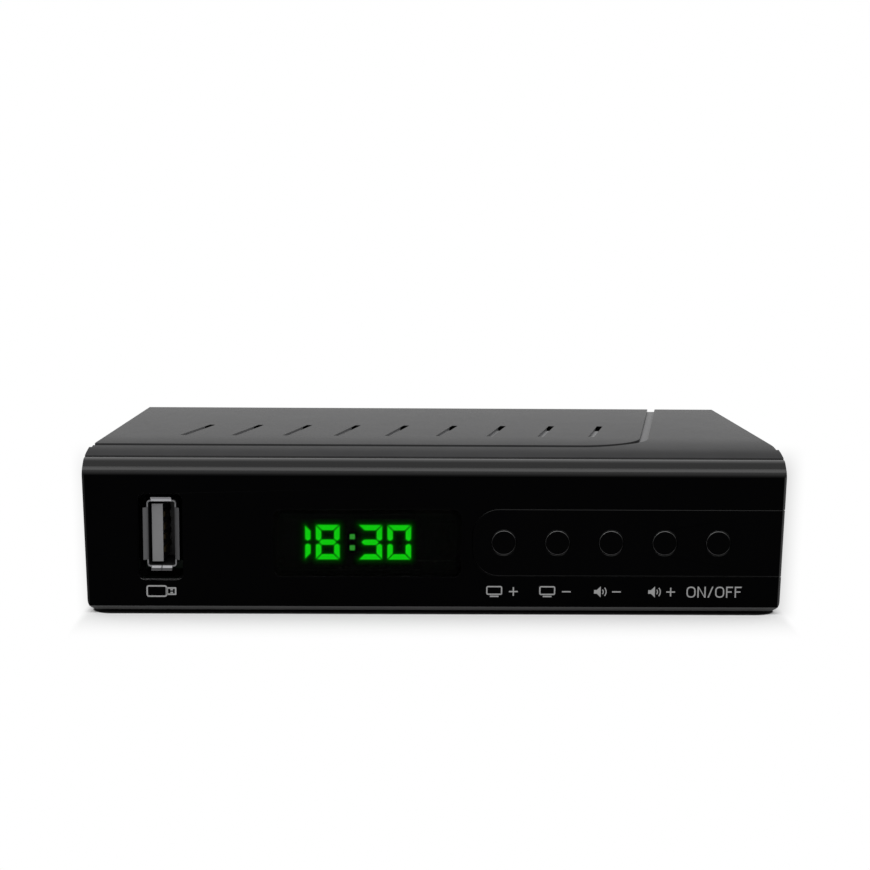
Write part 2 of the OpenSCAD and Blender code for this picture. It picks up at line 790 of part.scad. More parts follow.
module display_housing() {
    piece(chip_black) difference() {
        block([display_x - display_w / 2, display_face, digit_z - display_h / 2],
            [display_x + display_w / 2, front_board_y, digit_z + display_h / 2]);
        along_y(display_face - cut, display_face + segment_t) {
            lit_shapes();
            dark_shapes();
        }
    }
}

module lit_segments() {
    piece(lit_green) along_y(display_face, display_face + segment_t) lit_shapes();
}

module dark_segments() {
    piece([0.10, 0.12, 0.10]) along_y(display_face, display_face + segment_t) dark_shapes();
}

// The eye for the remote control: a block with a domed front
module ir_receiver() {
    w = 5;
    h = 6.5;
    d = 4;
    dome = 1.6;
    eye = front_board_y - d;
    piece(chip_black) {
        block([ir_x - w / 2, eye, digit_z - h / 2], [ir_x + w / 2, front_board_y, digit_z + h / 2]);
        translate([ir_x, eye, digit_z]) intersection() {
            sphere(dome);
            block([-dome, -dome, -dome], [dome, weld, dome]);
        }
    }
}

module front_board_screws() {
    piece(bright_steel) for (x = front_post_xs)
        translate([x, front_board_back, front_post_z]) rotate([-90, 0, 0])
            screw(board_screw_d - 2 * press_gap, board_screw_len, board_head_d, board_head_h);
}

module front_socket() {
    piece([0.85, 0.83, 0.76]) block([link_x - link_w / 2, front_board_back, link_z - link_socket_h / 2],
        [link_x + link_w / 2, front_board_back + link_socket_d, link_z + link_socket_h / 2]);
}

module main_socket() {
    piece([0.85, 0.83, 0.76]) block([link_x - link_w / 2, link_main_y - link_socket_h / 2, board_top],
        [link_x + link_w / 2, link_main_y + link_socket_h / 2, board_top + link_socket_d]);
}

// Flat cable between the boards, bent once
module link_ribbon() {
    start = front_board_back + link_socket_d;
    bend = link_main_y - ribbon_r;
    half_t = ribbon_t / 2;
    piece(light_grey) {
        block([link_x - ribbon_w / 2, start, link_z - half_t],
            [link_x + ribbon_w / 2, bend, link_z + half_t]);
        translate([link_x - ribbon_w / 2, bend, link_z - ribbon_r]) rotate([90, 0, 90])
            rotate_extrude(angle = 90) translate([ribbon_r - half_t, 0]) square([ribbon_t, ribbon_w]);
        block([link_x - ribbon_w / 2, link_main_y - half_t, board_top + link_socket_d],
            [link_x + ribbon_w / 2, link_main_y + half_t, link_z - ribbon_r]);
    }
}

// One flared flap of the USB shell, hinged on the edge of the shell's mouth
module usb_flap(length) {
    rotate([-55, 0, 0]) translate([-length / 2, -flap, 0]) cube([length, flap, sheet]);
}

module usb_shell() {
    mouth = usb_face + flap;
    piece(bright_steel) translate([usb_x, 0, usb_z]) {
        difference() {
            along_y(mouth, mouth + usb_len) rounded(usb_w, usb_h, usb_r);
            along_y(mouth - cut, mouth + usb_len + cut)
                rounded(usb_w - 2 * sheet, usb_h - 2 * sheet, usb_r - sheet);
        }
        for (side = [0, 180]) {
            rotate([0, side, 0]) translate([0, mouth, usb_h / 2 - sheet]) usb_flap(0.7 * usb_w);
            rotate([0, side + 90, 0]) translate([0, mouth, usb_w / 2 - sheet]) usb_flap(0.78 * usb_h);
        }
    }
}

// The plastic inside the USB socket: a block at the back and a tongue on the left side
tongue_t = 2.1;
tongue_x = -1.95;
tongue_h = 11.3;
tongue_in = 0.8;       // from the mouth of the shell to the tongue
usb_block = 4.5;
module usb_tongue() {
    back = usb_face + flap + usb_len;
    inset = 2 * (sheet + press_gap);
    piece(light_grey) translate([usb_x, 0, usb_z]) {
        along_y(back - usb_block, back) rounded(usb_w - inset, usb_h - inset, usb_r - sheet);
        block([tongue_x, usb_face + flap + tongue_in, -tongue_h / 2],
            [tongue_x + tongue_t, back - usb_block, tongue_h / 2]);
    }
}

module usb_contacts() {
    contact_w = 1;
    contact_t = 0.25;
    inner = 1;
    outer = 3.5;
    mouth = usb_face + flap;
    piece(gilt) translate([usb_x + tongue_x + tongue_t, 0, usb_z])
        for (z = [-outer, -inner, inner, outer])
            block([0, mouth + 2 * tongue_in, z - contact_w / 2],
                [contact_t, mouth + usb_len - usb_block, z + contact_w / 2]);
}

module main_board() {
    piece(board_green) difference() {
        block([-board_w / 2, board_y, board_bottom], [board_w / 2, board_rear, board_top]);
        for (p = board_posts)
            translate([p.x, p.y, 0]) cylinder(d = board_screw_d + 2 * press_gap, h = body_h);
    }
}

module main_board_screws() {
    piece(bright_steel) for (p = board_posts) translate([p.x, p.y, board_top])
        screw(board_screw_d - 2 * press_gap, board_screw_len, board_head_d, board_head_h);
}

// A flat chip with a dimple at one corner
module chip(x, y, w, d, h) {
    difference() {
        block([x - w / 2, y - d / 2, board_top], [x + w / 2, y + d / 2, board_top + h]);
        translate([x - w / 2 + dimple_d, y - d / 2 + dimple_d, board_top + h - dimple_deep])
            cylinder(d = dimple_d, h = cut);
    }
}

module decoder_chip() {
    piece(chip_black) block([chip_x - chip_w / 2, chip_y - chip_w / 2, board_top],
        [chip_x + chip_w / 2, chip_y + chip_w / 2, board_top + chip_h]);
}

module thermal_pad() {
    z = board_top + chip_h;
    piece([0.55, 0.60, 0.70]) block([chip_x - chip_w / 2, chip_y - chip_w / 2, z],
        [chip_x + chip_w / 2, chip_y + chip_w / 2, z + pad_h]);
}

module heatsink() {
    z = board_top + chip_h + pad_h;
    step = (sink_w - fin_t) / (sink_fins - 1);
    piece(bright_steel) translate([chip_x - sink_w / 2, chip_y - sink_w / 2, z]) {
        cube([sink_w, sink_w, sink_base]);
        for (i = [0:sink_fins - 1]) translate([i * step, 0, 0]) cube([fin_t, sink_w, sink_h]);
    }
}

module memory_chip() {
    piece(chip_black) chip(memory_x, chip_y, memory_w, memory_d, memory_h);
}

module flash_chip() {
    piece(chip_black) chip(flash_x, flash_y, flash_w, flash_w, flash_h);
}

module crystal() {
    piece(bright_steel) translate([chip_x - crystal_w, chip_y - sink_w / 2 - crystal_d, board_top])
        linear_extrude(crystal_h) rounded(crystal_w, crystal_d, crystal_d / 2 - press_gap);
}

// Smoothing capacitors: cans with a crimped waist
module capacitors() {
    waist = 1.6;
    crimp = 0.4;
    piece([0.12, 0.13, 0.22]) for (i = [0, 1]) for (j = [0, 1])
        translate([power_x + i * power_pitch, rear_in - can_back - j * power_pitch, board_top])
            rotate_extrude() polygon([[0, 0], [can_r, 0], [can_r, waist - crimp], [can_r - crimp, waist],
                [can_r, waist + crimp], [can_r, can_h - crimp], [can_r - crimp, can_h], [0, can_h]]);
}

// Choke coils: a square foot with a round core
module inductors() {
    piece([0.20, 0.20, 0.21]) for (j = [0, 1])
        translate([power_x, rear_in - coil_back - j * power_pitch, board_top]) {
            translate([0, 0, coil_foot / 2]) cube([coil_w, coil_w, coil_foot], center = true);
            cylinder(d = coil_w - coil_foot / 2, h = coil_h);
        }
}

module regulators() {
    piece(chip_black) for (j = [0, 1]) chip(dc_x, rear_in - reg_back - j * power_pitch, reg_w, reg_d, reg_h);
}

module tuner_frame() {
    low = [tuner_x - tuner_w / 2, tuner_back - tuner_d, board_top];
    high = [tuner_x + tuner_w / 2, tuner_back, board_top + tuner_h];
    skin = 2 * sheet;
    piece(bright_steel) difference() {
        block(low, high);
        block(low + [skin, skin, -cut], high + [-skin, -skin, cut]);
    }
}

module tuner_lid() {
    z = board_top + tuner_h;
    piece(bright_steel) {
        block([tuner_x - tuner_w / 2, tuner_back - tuner_d, z],
            [tuner_x + tuner_w / 2, tuner_back, z + sheet]);
        for (i = [-1, 0, 1]) translate([tuner_x + i * tuner_w / 3, tuner_back - tuner_d / 2, z + sheet])
            cylinder(d = 3, h = sheet);
    }
}

// A sleeve of an aerial socket: a collar from the tuner through the rear panel, then the barrel
module rf_sleeve(x, d, bore) {
    difference() {
        union() {
            rod(d + 2 * rf_collar, x, rf_z, tuner_back, rear_face);
            rod(d, x, rf_z, rear_face, rf_end);
        }
        rod(bore, x, rf_z, tuner_back - cut, rf_end + cut);
    }
}

module rf_disc(x, bore, core) {
    difference() {
        rod(bore - 2 * press_gap, x, rf_z, tuner_back, tuner_back + rf_disc);
        rod(core + 2 * press_gap, x, rf_z, tuner_back - cut, tuner_back + rf_disc + cut);
    }
}

module rf_in_sleeve() {
    piece(bright_steel) rf_sleeve(rf_in_x, rf_in_d, rf_in_bore);
}

module rf_in_insulator() {
    piece([0.90, 0.90, 0.88]) rf_disc(rf_in_x, rf_in_bore, rf_contact_d);
}

module rf_in_contact() {
    piece(gilt) difference() {
        rod(rf_contact_d, rf_in_x, rf_z, tuner_back, rf_end - rf_core_in);
        rod(rf_pin_d + 2 * press_gap, rf_in_x, rf_z, tuner_back + rf_disc, rf_end);
    }
}

module rf_out_sleeve() {
    piece(bright_steel) rf_sleeve(rf_out_x, rf_out_d, rf_out_bore);
}

module rf_out_insulator() {
    piece([0.90, 0.90, 0.88]) rf_disc(rf_out_x, rf_out_bore, rf_pin_d);
}

module rf_out_pin() {
    piece(gilt) rod(rf_pin_d, rf_out_x, rf_z, tuner_back, rf_end - rf_core_in);
}

// Mouth of the HDMI socket: a box whose two lower corners are cut off
module hdmi_shape(inset) {
    w = hdmi_w / 2 - inset;
    foot = w - 2;
    polygon([[-w, hdmi_h - inset], [w, hdmi_h - inset], [w, 1.6], [foot, inset], [-foot, inset], [-w, 1.6]]);
}

module hdmi_shell() {
    piece(bright_steel) translate([hdmi_x, 0, board_top]) difference() {
        along_y(rear_face - hdmi_len, rear_face) hdmi_shape(0);
        along_y(rear_face - hdmi_len + hdmi_sheet, rear_face + cut) hdmi_shape(hdmi_sheet);
    }
}

module hdmi_tongue() {
    tongue_w = 11.2;
    block_len = 3;
    back = rear_face - hdmi_len + hdmi_sheet;
    piece(chip_black) translate([hdmi_x, 0, board_top]) {
        along_y(back, back + block_len) hdmi_shape(hdmi_sheet + press_gap);
        block([-tongue_w / 2, back + block_len, hdmi_h / 2], [tongue_w / 2, rear_face - 1, hdmi_h / 2 + 1]);
    }
}

module av_jack() {
    piece(chip_black) difference() {
        union() {
            block([av_x - av_w / 2, rear_in - av_len - air, board_top],
                [av_x + av_w / 2, rear_in - air, board_top + av_h]);
            rod(av_barrel_d, av_x, av_z, rear_in - 2 * air, rear_face);
        }
        rod(av_bore, av_x, av_z, rear_face - av_bore_len + 1, rear_face + cut);
    }
}

module dc_jack() {
    piece(chip_black) difference() {
        block([dc_x - dc_w / 2, rear_face - dc_len, board_top],
            [dc_x + dc_w / 2, rear_face, board_top + dc_h]);
        rod(dc_bore, dc_x, dc_z, rear_face - dc_bore_len, rear_face + cut);
    }
}

module dc_pin() {
    piece(bright_steel) rod(dc_pin_d, dc_x, dc_z, rear_face - dc_bore_len, rear_face - dc_pin_in);
}

top_cover();
bottom_tray();
rear_panel();
front_panel();
display_window();
button_strip();
rubber_feet();
case_screws();
channel_up_button();
channel_down_button();
volume_down_button();
volume_up_button();
power_button();
channel_up_plunger();
channel_down_plunger();
volume_down_plunger();
volume_up_plunger();
power_plunger();
channel_up_switch();
channel_down_switch();
volume_down_switch();
volume_up_switch();
power_switch();
front_board();
display_housing();
lit_segments();
dark_segments();
ir_receiver();
front_board_screws();
front_socket();
main_socket();
link_ribbon();
usb_shell();
usb_tongue();
usb_contacts();
main_board();
main_board_screws();
decoder_chip();
thermal_pad();
heatsink();
memory_chip();
flash_chip();
crystal();
capacitors();
inductors();
regulators();
tuner_frame();
tuner_lid();
rf_in_sleeve();
rf_in_insulator();
rf_in_contact();
rf_out_sleeve();
rf_out_insulator();
rf_out_pin();
hdmi_shell();
hdmi_tongue();
av_jack();
dc_jack();
dc_pin();
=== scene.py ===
"""Looks of a small set-top box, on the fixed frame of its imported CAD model.

Every CAD node keeps its shape. This script rounds their edges, gives each node a finish, adds the
printed marks and the glow in the display, and sets up the studio and the photograph's camera. Sizes in
the classes are in millimetres, angles are in degrees, and Blender's own objects are in metres.
"""

import json
import logging
import math
from collections.abc import Callable
from dataclasses import dataclass
from enum import Enum
from functools import partial, reduce

import bmesh
import bpy
from mathutils import Matrix, Vector
from mathutils.bvhtree import BVHTree
from mathutils.geometry import delaunay_2d_cdt

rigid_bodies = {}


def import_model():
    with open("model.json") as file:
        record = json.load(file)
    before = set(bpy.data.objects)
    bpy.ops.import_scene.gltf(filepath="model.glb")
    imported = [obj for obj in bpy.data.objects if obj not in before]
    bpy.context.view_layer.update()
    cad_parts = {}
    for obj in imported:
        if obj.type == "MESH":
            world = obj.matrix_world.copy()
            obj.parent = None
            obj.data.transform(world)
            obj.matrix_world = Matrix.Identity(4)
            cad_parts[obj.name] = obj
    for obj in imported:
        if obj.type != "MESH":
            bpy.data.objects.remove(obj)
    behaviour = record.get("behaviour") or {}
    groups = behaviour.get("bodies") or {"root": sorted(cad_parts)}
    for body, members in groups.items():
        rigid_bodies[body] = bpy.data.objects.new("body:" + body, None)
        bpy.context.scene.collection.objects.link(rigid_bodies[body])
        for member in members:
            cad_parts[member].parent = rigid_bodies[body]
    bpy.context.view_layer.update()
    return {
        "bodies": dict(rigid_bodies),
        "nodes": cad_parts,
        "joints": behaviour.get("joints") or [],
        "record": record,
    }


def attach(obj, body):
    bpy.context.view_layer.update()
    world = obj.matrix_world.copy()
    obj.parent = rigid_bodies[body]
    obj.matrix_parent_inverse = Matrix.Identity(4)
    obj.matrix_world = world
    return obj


Triple = tuple[float, float, float]
Colour = Triple
Point = tuple[float, float]
Span = tuple[float, float]
Socket = bpy.types.NodeSocket
Outputs = bpy.types.NodeOutputs
Number = Socket | float
Feeds = dict[str, object] | dict[int, object]

LOG = logging.getLogger("receiver")
MM = 0.001
BASE_BODY = "receiver"
BLACK: Colour = (0.0, 0.0, 0.0)
WHITE: Colour = (1.0, 1.0, 1.0)
# Points that are closer together than this are one point.
TOUCH = 0.001
# Where the clock's colon lies across the front.
COLON: Span = (-16.8, -15.2)
GLOW_LAYER = "glow"
# The Wave Texture multiplies its coordinates by this.
WAVE_FACTOR = 20.0


class Wiring:
    """Adds nodes to one node tree and links them."""

    def __init__(self, tree: bpy.types.NodeTree) -> None:
        """Keep the tree that the nodes go into."""
        self.tree = tree

    def node(self, kind: str, **settings: object) -> bpy.types.Node:
        """Add a node.

        Args:
            kind: Blender's name for the kind of node.
            settings: properties of the node to set.

        Returns:
            The new node.
        """
        made = self.tree.nodes.new(kind)
        for key, value in settings.items():
            setattr(made, key, value)
        return made

    def feed(self, target: Socket, value: object) -> None:
        """Link a socket to an input, or set the input to a value.

        Args:
            target: the input.
            value: a socket, a number or a row of numbers.
        """
        if isinstance(value, Socket):
            self.tree.links.new(value, target)
        else:
            target.default_value = value

    def fill(self, node: bpy.types.Node, inputs: Feeds) -> Outputs:
        """Feed several inputs of a node.

        Args:
            node: the node.
            inputs: what each input gets, by the input's name or number.

        Returns:
            The node's outputs.
        """
        for key, value in inputs.items():
            self.feed(node.inputs[key], value)
        return node.outputs

    def place(self) -> Socket:
        """Coordinates on the object itself, in metres."""
        return self.node("ShaderNodeTexCoord").outputs["Object"]

    def stretched(self, place: Socket, scale: Triple) -> Socket:
        """Coordinates multiplied by one factor along each axis."""
        return self.fill(self.node("ShaderNodeMapping"), {"Vector": place, "Scale": scale})["Vector"]

    def spot(self) -> Socket:
        """Coordinates on the object itself, in millimetres."""
        return self.stretched(self.place(), (1.0 / MM, 1.0 / MM, 1.0 / MM))

    def axes(self, vector: Socket) -> Outputs:
        """X, Y and Z of a vector."""
        return self.fill(self.node("ShaderNodeSeparateXYZ"), {"Vector": vector})

    def where(self) -> Outputs:
        """X, Y and Z of a point of the object, in millimetres."""
        return self.axes(self.spot())

    def facing(self) -> Outputs:
        """X, Y and Z of the surface's own normal."""
        return self.axes(self.node("ShaderNodeNewGeometry").outputs["Normal"])

    def noise(self, place: Socket, scale: Number, detail: float = 2.0, twist: float = 0.0) -> Socket:
        """Cloudy noise.

        Args:
            place: coordinates to read the noise at.
            scale: waves in a metre.
            detail: how many finer layers are added.
            twist: how far the pattern is distorted.

        Returns:
            Noise from 0 to 1.
        """
        inputs = {"Vector": place, "Scale": scale, "Detail": detail, "Distortion": twist}
        return self.fill(self.node("ShaderNodeTexNoise"), inputs)["Fac"]

    def cells(self, place: Socket, scale: Number) -> Socket:
        """Distance to the nearest of many scattered points, in cell sizes."""
        return self.fill(self.node("ShaderNodeTexVoronoi"), {"Vector": place, "Scale": scale})["Distance"]

    def math(self, operation: str, one: Number, two: Number = 0.0) -> Socket:
        """Result of a Math node with one or two inputs."""
        return self.fill(self.node("ShaderNodeMath", operation=operation), {0: one, 1: two})["Value"]

    def plus(self, one: Number, two: Number) -> Socket:
        """Sum of two values."""
        return self.math("ADD", one, two)

    def minus(self, one: Number, two: Number) -> Socket:
        """Difference of two values."""
        return self.math("SUBTRACT", one, two)

    def times(self, *values: Number) -> Socket:
        """Product of several values."""
        return reduce(partial(self.math, "MULTIPLY"), values)

    def larger(self, one: Number, two: Number) -> Socket:
        """The larger of two values."""
        return self.math("MAXIMUM", one, two)

    def above(self, value: Socket, limit: float) -> Socket:
        """1 where a value is above a limit, and 0 elsewhere."""
        return self.math("GREATER_THAN", value, limit)

    def under(self, value: Socket, limit: float) -> Socket:
        """1 where a value is under a limit, and 0 elsewhere."""
        return self.math("LESS_THAN", value, limit)

    def between(self, value: Socket, low: float, high: float) -> Socket:
        """1 where a value lies between two limits, and 0 elsewhere."""
        return self.times(self.above(value, low), self.under(value, high))

    def vector(self, operation: str, one: Socket, two: Triple = (0.0, 0.0, 0.0)) -> Socket:
        """Result of a Vector Math node, whose second vector is fixed."""
        made = self.fill(self.node("ShaderNodeVectorMath", operation=operation), {0: one, 1: two})
        return made["Value" if operation == "LENGTH" else "Vector"]

    def ramp(
        self, value: Socket, low: float, high: float, at_low: float = 0.0, at_high: float = 1.0
    ) -> Socket:
        """Smooth step from one number to another.

        Args:
            value: what the step follows.
            low: value where it starts.
            high: value where it ends.
            at_low: number before the step.
            at_high: number after the step.

        Returns:
            The socket with the number.
        """
        limits = {"From Min": low, "From Max": high, "To Min": at_low, "To Max": at_high}
        made = self.node("ShaderNodeMapRange", interpolation_type="SMOOTHSTEP")
        return self.fill(made, {"Value": value, **limits})["Result"]

    def blend(self, share: Socket, at_none: float, at_full: float) -> Socket:
        """Number that goes smoothly from one value to another while a share goes from 0 to 1."""
        return self.ramp(share, 0.0, 1.0, at_none, at_full)

    def mix(self, one: Socket | Colour, two: Socket | Colour, share: Socket) -> Socket:
        """Mixed colour.

        Args:
            one: colour where the share is 0.
            two: colour where the share is 1.
            share: socket that says how much of the second colour there is.

        Returns:
            The colour socket.
        """
        made = self.node("ShaderNodeMix", data_type="RGBA")
        colour_inputs = [socket for socket in made.inputs if socket.type == "RGBA"]
        for target, value in zip(colour_inputs, (one, two)):
            self.feed(target, value if isinstance(value, Socket) else (*value, 1.0))
        self.feed(made.inputs["Factor"], share)
        return next(socket for socket in made.outputs if socket.type == "RGBA")

    def bump(self, height: Socket, depth: float, normal: Socket | None = None) -> Socket:
        """Normal with a relief on it.

        Args:
            height: height of the relief, from 0 to 1.
            depth: depth of the relief in millimetres.
            normal: normal under the relief, or nothing for the surface's own.

        Returns:
            The socket with the normal.
        """
        inputs = {"Height": height, "Distance": depth * MM}
        if normal:
            inputs["Normal"] = normal
        return self.fill(self.node("ShaderNodeBump"), inputs)["Normal"]


class Effect(Enum):
    """Surface effects that several finishes share, each a shader node group."""

    GRAIN = "moulded_grain"
    DUST = "settled_dust"
    SMEARS = "handling_smears"
    BRUSH = "brushed_lines"
    SHADE_DEPTH = "socket_shade_depth"


class EffectShop:
    """Builds each shared effect once and hands it out."""

    def __init__(self) -> None:
        """Start with no effect built."""
        self.made: dict[Effect, bpy.types.NodeTree] = {}

    def get(self, effect: Effect) -> bpy.types.NodeTree:
        """Node group of an effect, built at its first use.

        Args:
            effect: the effect.

        Returns:
            Its node group.
        """
        if effect not in self.made:
            recipes = {
                Effect.GRAIN: (["Scale"], self._grain),
                Effect.DUST: (["Amount"], self._dust),
                Effect.SMEARS: (["Scale"], self._smears),
                Effect.BRUSH: (["Scale"], self._brush),
                Effect.SHADE_DEPTH: (["Mouth", "Dark"], self._shade_depth),
            }
            self.made[effect] = self._build(effect.value, *recipes[effect])
        return self.made[effect]

    @staticmethod
    def _build(
        name: str, labels: list[str], recipe: Callable[[Wiring, Outputs], dict[str, Socket]]
    ) -> bpy.types.NodeTree:
        """Build one node group.

        Args:
            name: name of the group.
            labels: names of its inputs, which are numbers.
            recipe: method that wires the group and returns what it puts out.

        Returns:
            The node group.
        """
        tree = bpy.data.node_groups.new(name, "ShaderNodeTree")
        for label in labels:
            tree.interface.new_socket(name=label, in_out="INPUT", socket_type="NodeSocketFloat")
        wiring = Wiring(tree)
        results = recipe(wiring, wiring.node("NodeGroupInput").outputs)
        for label in results:
            tree.interface.new_socket(name=label, in_out="OUTPUT", socket_type="NodeSocketFloat")
        wiring.fill(wiring.node("NodeGroupOutput"), results)
        return tree

    @staticmethod
    def _grain(wiring: Wiring, entry: Outputs) -> dict[str, Socket]:
        """Spark eroded mould texture.

        Args:
            wiring: wiring of the group.
            entry: sockets of its inputs.

        Returns:
            The texture's height, and a slow mottle in tone.
        """
        place = wiring.place()
        pit_depth = 0.6
        lumps = wiring.noise(place, entry["Scale"])
        pits = wiring.times(wiring.cells(place, entry["Scale"]), pit_depth)
        return {"Height": wiring.plus(lumps, pits), "Mottle": wiring.noise(place, scale=170.0, detail=3.0)}

    @staticmethod
    def _dust(wiring: Wiring, entry: Outputs) -> dict[str, Socket]:
        """Dust that lies on faces that look up: a thin film and scattered specks.

        Args:
            wiring: wiring of the group.
            entry: sockets of its inputs.

        Returns:
            The mask of the dust.
        """
        place = wiring.place()
        upward = wiring.ramp(wiring.facing()["Z"], low=0.5, high=0.98)
        clouds = wiring.noise(place, scale=55.0, detail=3.0)
        film = wiring.ramp(clouds, low=0.35, high=0.7, at_low=0.15, at_high=0.5)
        specks = wiring.ramp(wiring.noise(place, scale=2600.0, detail=1.0), low=0.68, high=0.78)
        return {"Mask": wiring.times(wiring.plus(film, specks), entry["Amount"], upward)}

    @staticmethod
    def _smears(wiring: Wiring, entry: Outputs) -> dict[str, Socket]:
        """Faint patches where hands have wiped the surface."""
        clouds = wiring.noise(wiring.place(), entry["Scale"], detail=4.0, twist=1.2)
        return {"Mask": wiring.ramp(clouds, low=0.42, high=0.68)}

    @staticmethod
    def _brush(wiring: Wiring, entry: Outputs) -> dict[str, Socket]:
        """Rolling lines along X on sheet metal.

        Args:
            wiring: wiring of the group.
            entry: sockets of its inputs.

        Returns:
            The lines' height, and a slow tarnish.
        """
        place = wiring.place()
        drawn_out = 0.04
        along = wiring.stretched(place, (drawn_out, 1.0, 1.0))
        tarnish = wiring.ramp(wiring.noise(place, scale=260.0, detail=4.0), low=0.35, high=0.75)
        return {"Height": wiring.noise(along, entry["Scale"], detail=3.0), "Tarnish": tarnish}

    @staticmethod
    def _shade_depth(wiring: Wiring, entry: Outputs) -> dict[str, Socket]:
        """How deep a point lies in a socket of the front, which sets the painted shade inside it.

        Args:
            wiring: wiring of the group.
            entry: sockets of its inputs, the Y of the mouth and the Y where it is dark.

        Returns:
            The mask, from 0 at the mouth to 1 where it is dark.
        """
        depth = wiring.minus(wiring.where()["Y"], entry["Mouth"])
        whole = wiring.minus(entry["Dark"], entry["Mouth"])
        return {"Mask": wiring.blend(wiring.math("DIVIDE", depth, whole), 0.0, 1.0)}


def shaded(colour: Colour, factor: float) -> Colour:
    """Colour made lighter or darker by a factor."""
    red, green, blue = colour
    return (red * factor, green * factor, blue * factor)


class Paint(Wiring):
    """Wiring of one material, with the inputs of its shader and the shared effects."""

    def __init__(self, material: bpy.types.Material, effects: EffectShop) -> None:
        """Keep what the finish is wired with.

        Args:
            material: the material, with Blender's usual shader in it.
            effects: where the shared node groups come from.
        """
        super().__init__(material.node_tree)
        self.shader = material.node_tree.nodes["Principled BSDF"].inputs
        self.effects = effects

    def give(self, name: str, value: Number) -> None:
        """Link or set one input of the shader."""
        self.feed(self.shader[name], value)

    def effect(self, effect: Effect, **inputs: float) -> Outputs:
        """Add a shared effect with values of its own, and hand out its outputs."""
        return self.fill(self.node("ShaderNodeGroup", node_tree=self.effects.get(effect)), inputs)

    def shades(self, colour: Colour, factors: Span, share: Socket) -> Socket:
        """Colour that goes from one of its shades to another while a share goes from 0 to 1."""
        return self.mix(*(shaded(colour, factor) for factor in factors), share)


@dataclass(frozen=True)
class Finish:
    """A finish with its own procedural material."""

    name: str

    def material(self, effects: EffectShop) -> bpy.types.Material:
        """Build the material.

        Args:
            effects: where the shared node groups come from.

        Returns:
            The new material.
        """
        made = bpy.data.materials.new(self.name)
        made.use_nodes = True
        self.wire(Paint(made, effects))
        return made

    def wire(self, paint: Paint) -> None:
        """Link this finish to the shader of its material."""
        raise NotImplementedError


@dataclass(frozen=True)
class Moulded(Finish):
    """Moulded plastic, resin or rubber with a fine grain."""

    colour: Colour
    roughness: float
    specular: float = 0.5
    grain: float = 0.25
    depth: float = 0.006
    mottle: Span = (0.86, 1.14)
    smear_scale: float = 70.0
    polish: float = 0.015
    dust: float = 0.0
    dust_colour: Colour = (0.35, 0.34, 0.32)

    def wire(self, paint: Paint) -> None:
        """Mottled colour under a little dust, wiped roughness and grain.

        Args:
            paint: wiring of the material.
        """
        grain = paint.effect(Effect.GRAIN, Scale=1.0 / (self.grain * MM))
        smears = paint.effect(Effect.SMEARS, Scale=self.smear_scale)
        dust = paint.effect(Effect.DUST, Amount=self.dust)
        tone = self.tone(paint, grain["Mottle"])
        paint.give("Base Color", paint.mix(tone, self.dust_colour, dust["Mask"]))
        paint.give("Roughness", paint.blend(smears["Mask"], self.roughness, self.roughness - self.polish))
        paint.give("Normal", paint.bump(grain["Height"], self.depth, self.lie(paint)))
        paint.give("Specular IOR Level", self.specular)

    def tone(self, paint: Paint, mottle: Socket) -> Socket:
        """Colour under the dust."""
        return paint.shades(self.colour, self.mottle, mottle)

    def lie(self, paint: Paint) -> Socket | None:
        """Normal under the grain, or nothing for the surface's own."""
        return None


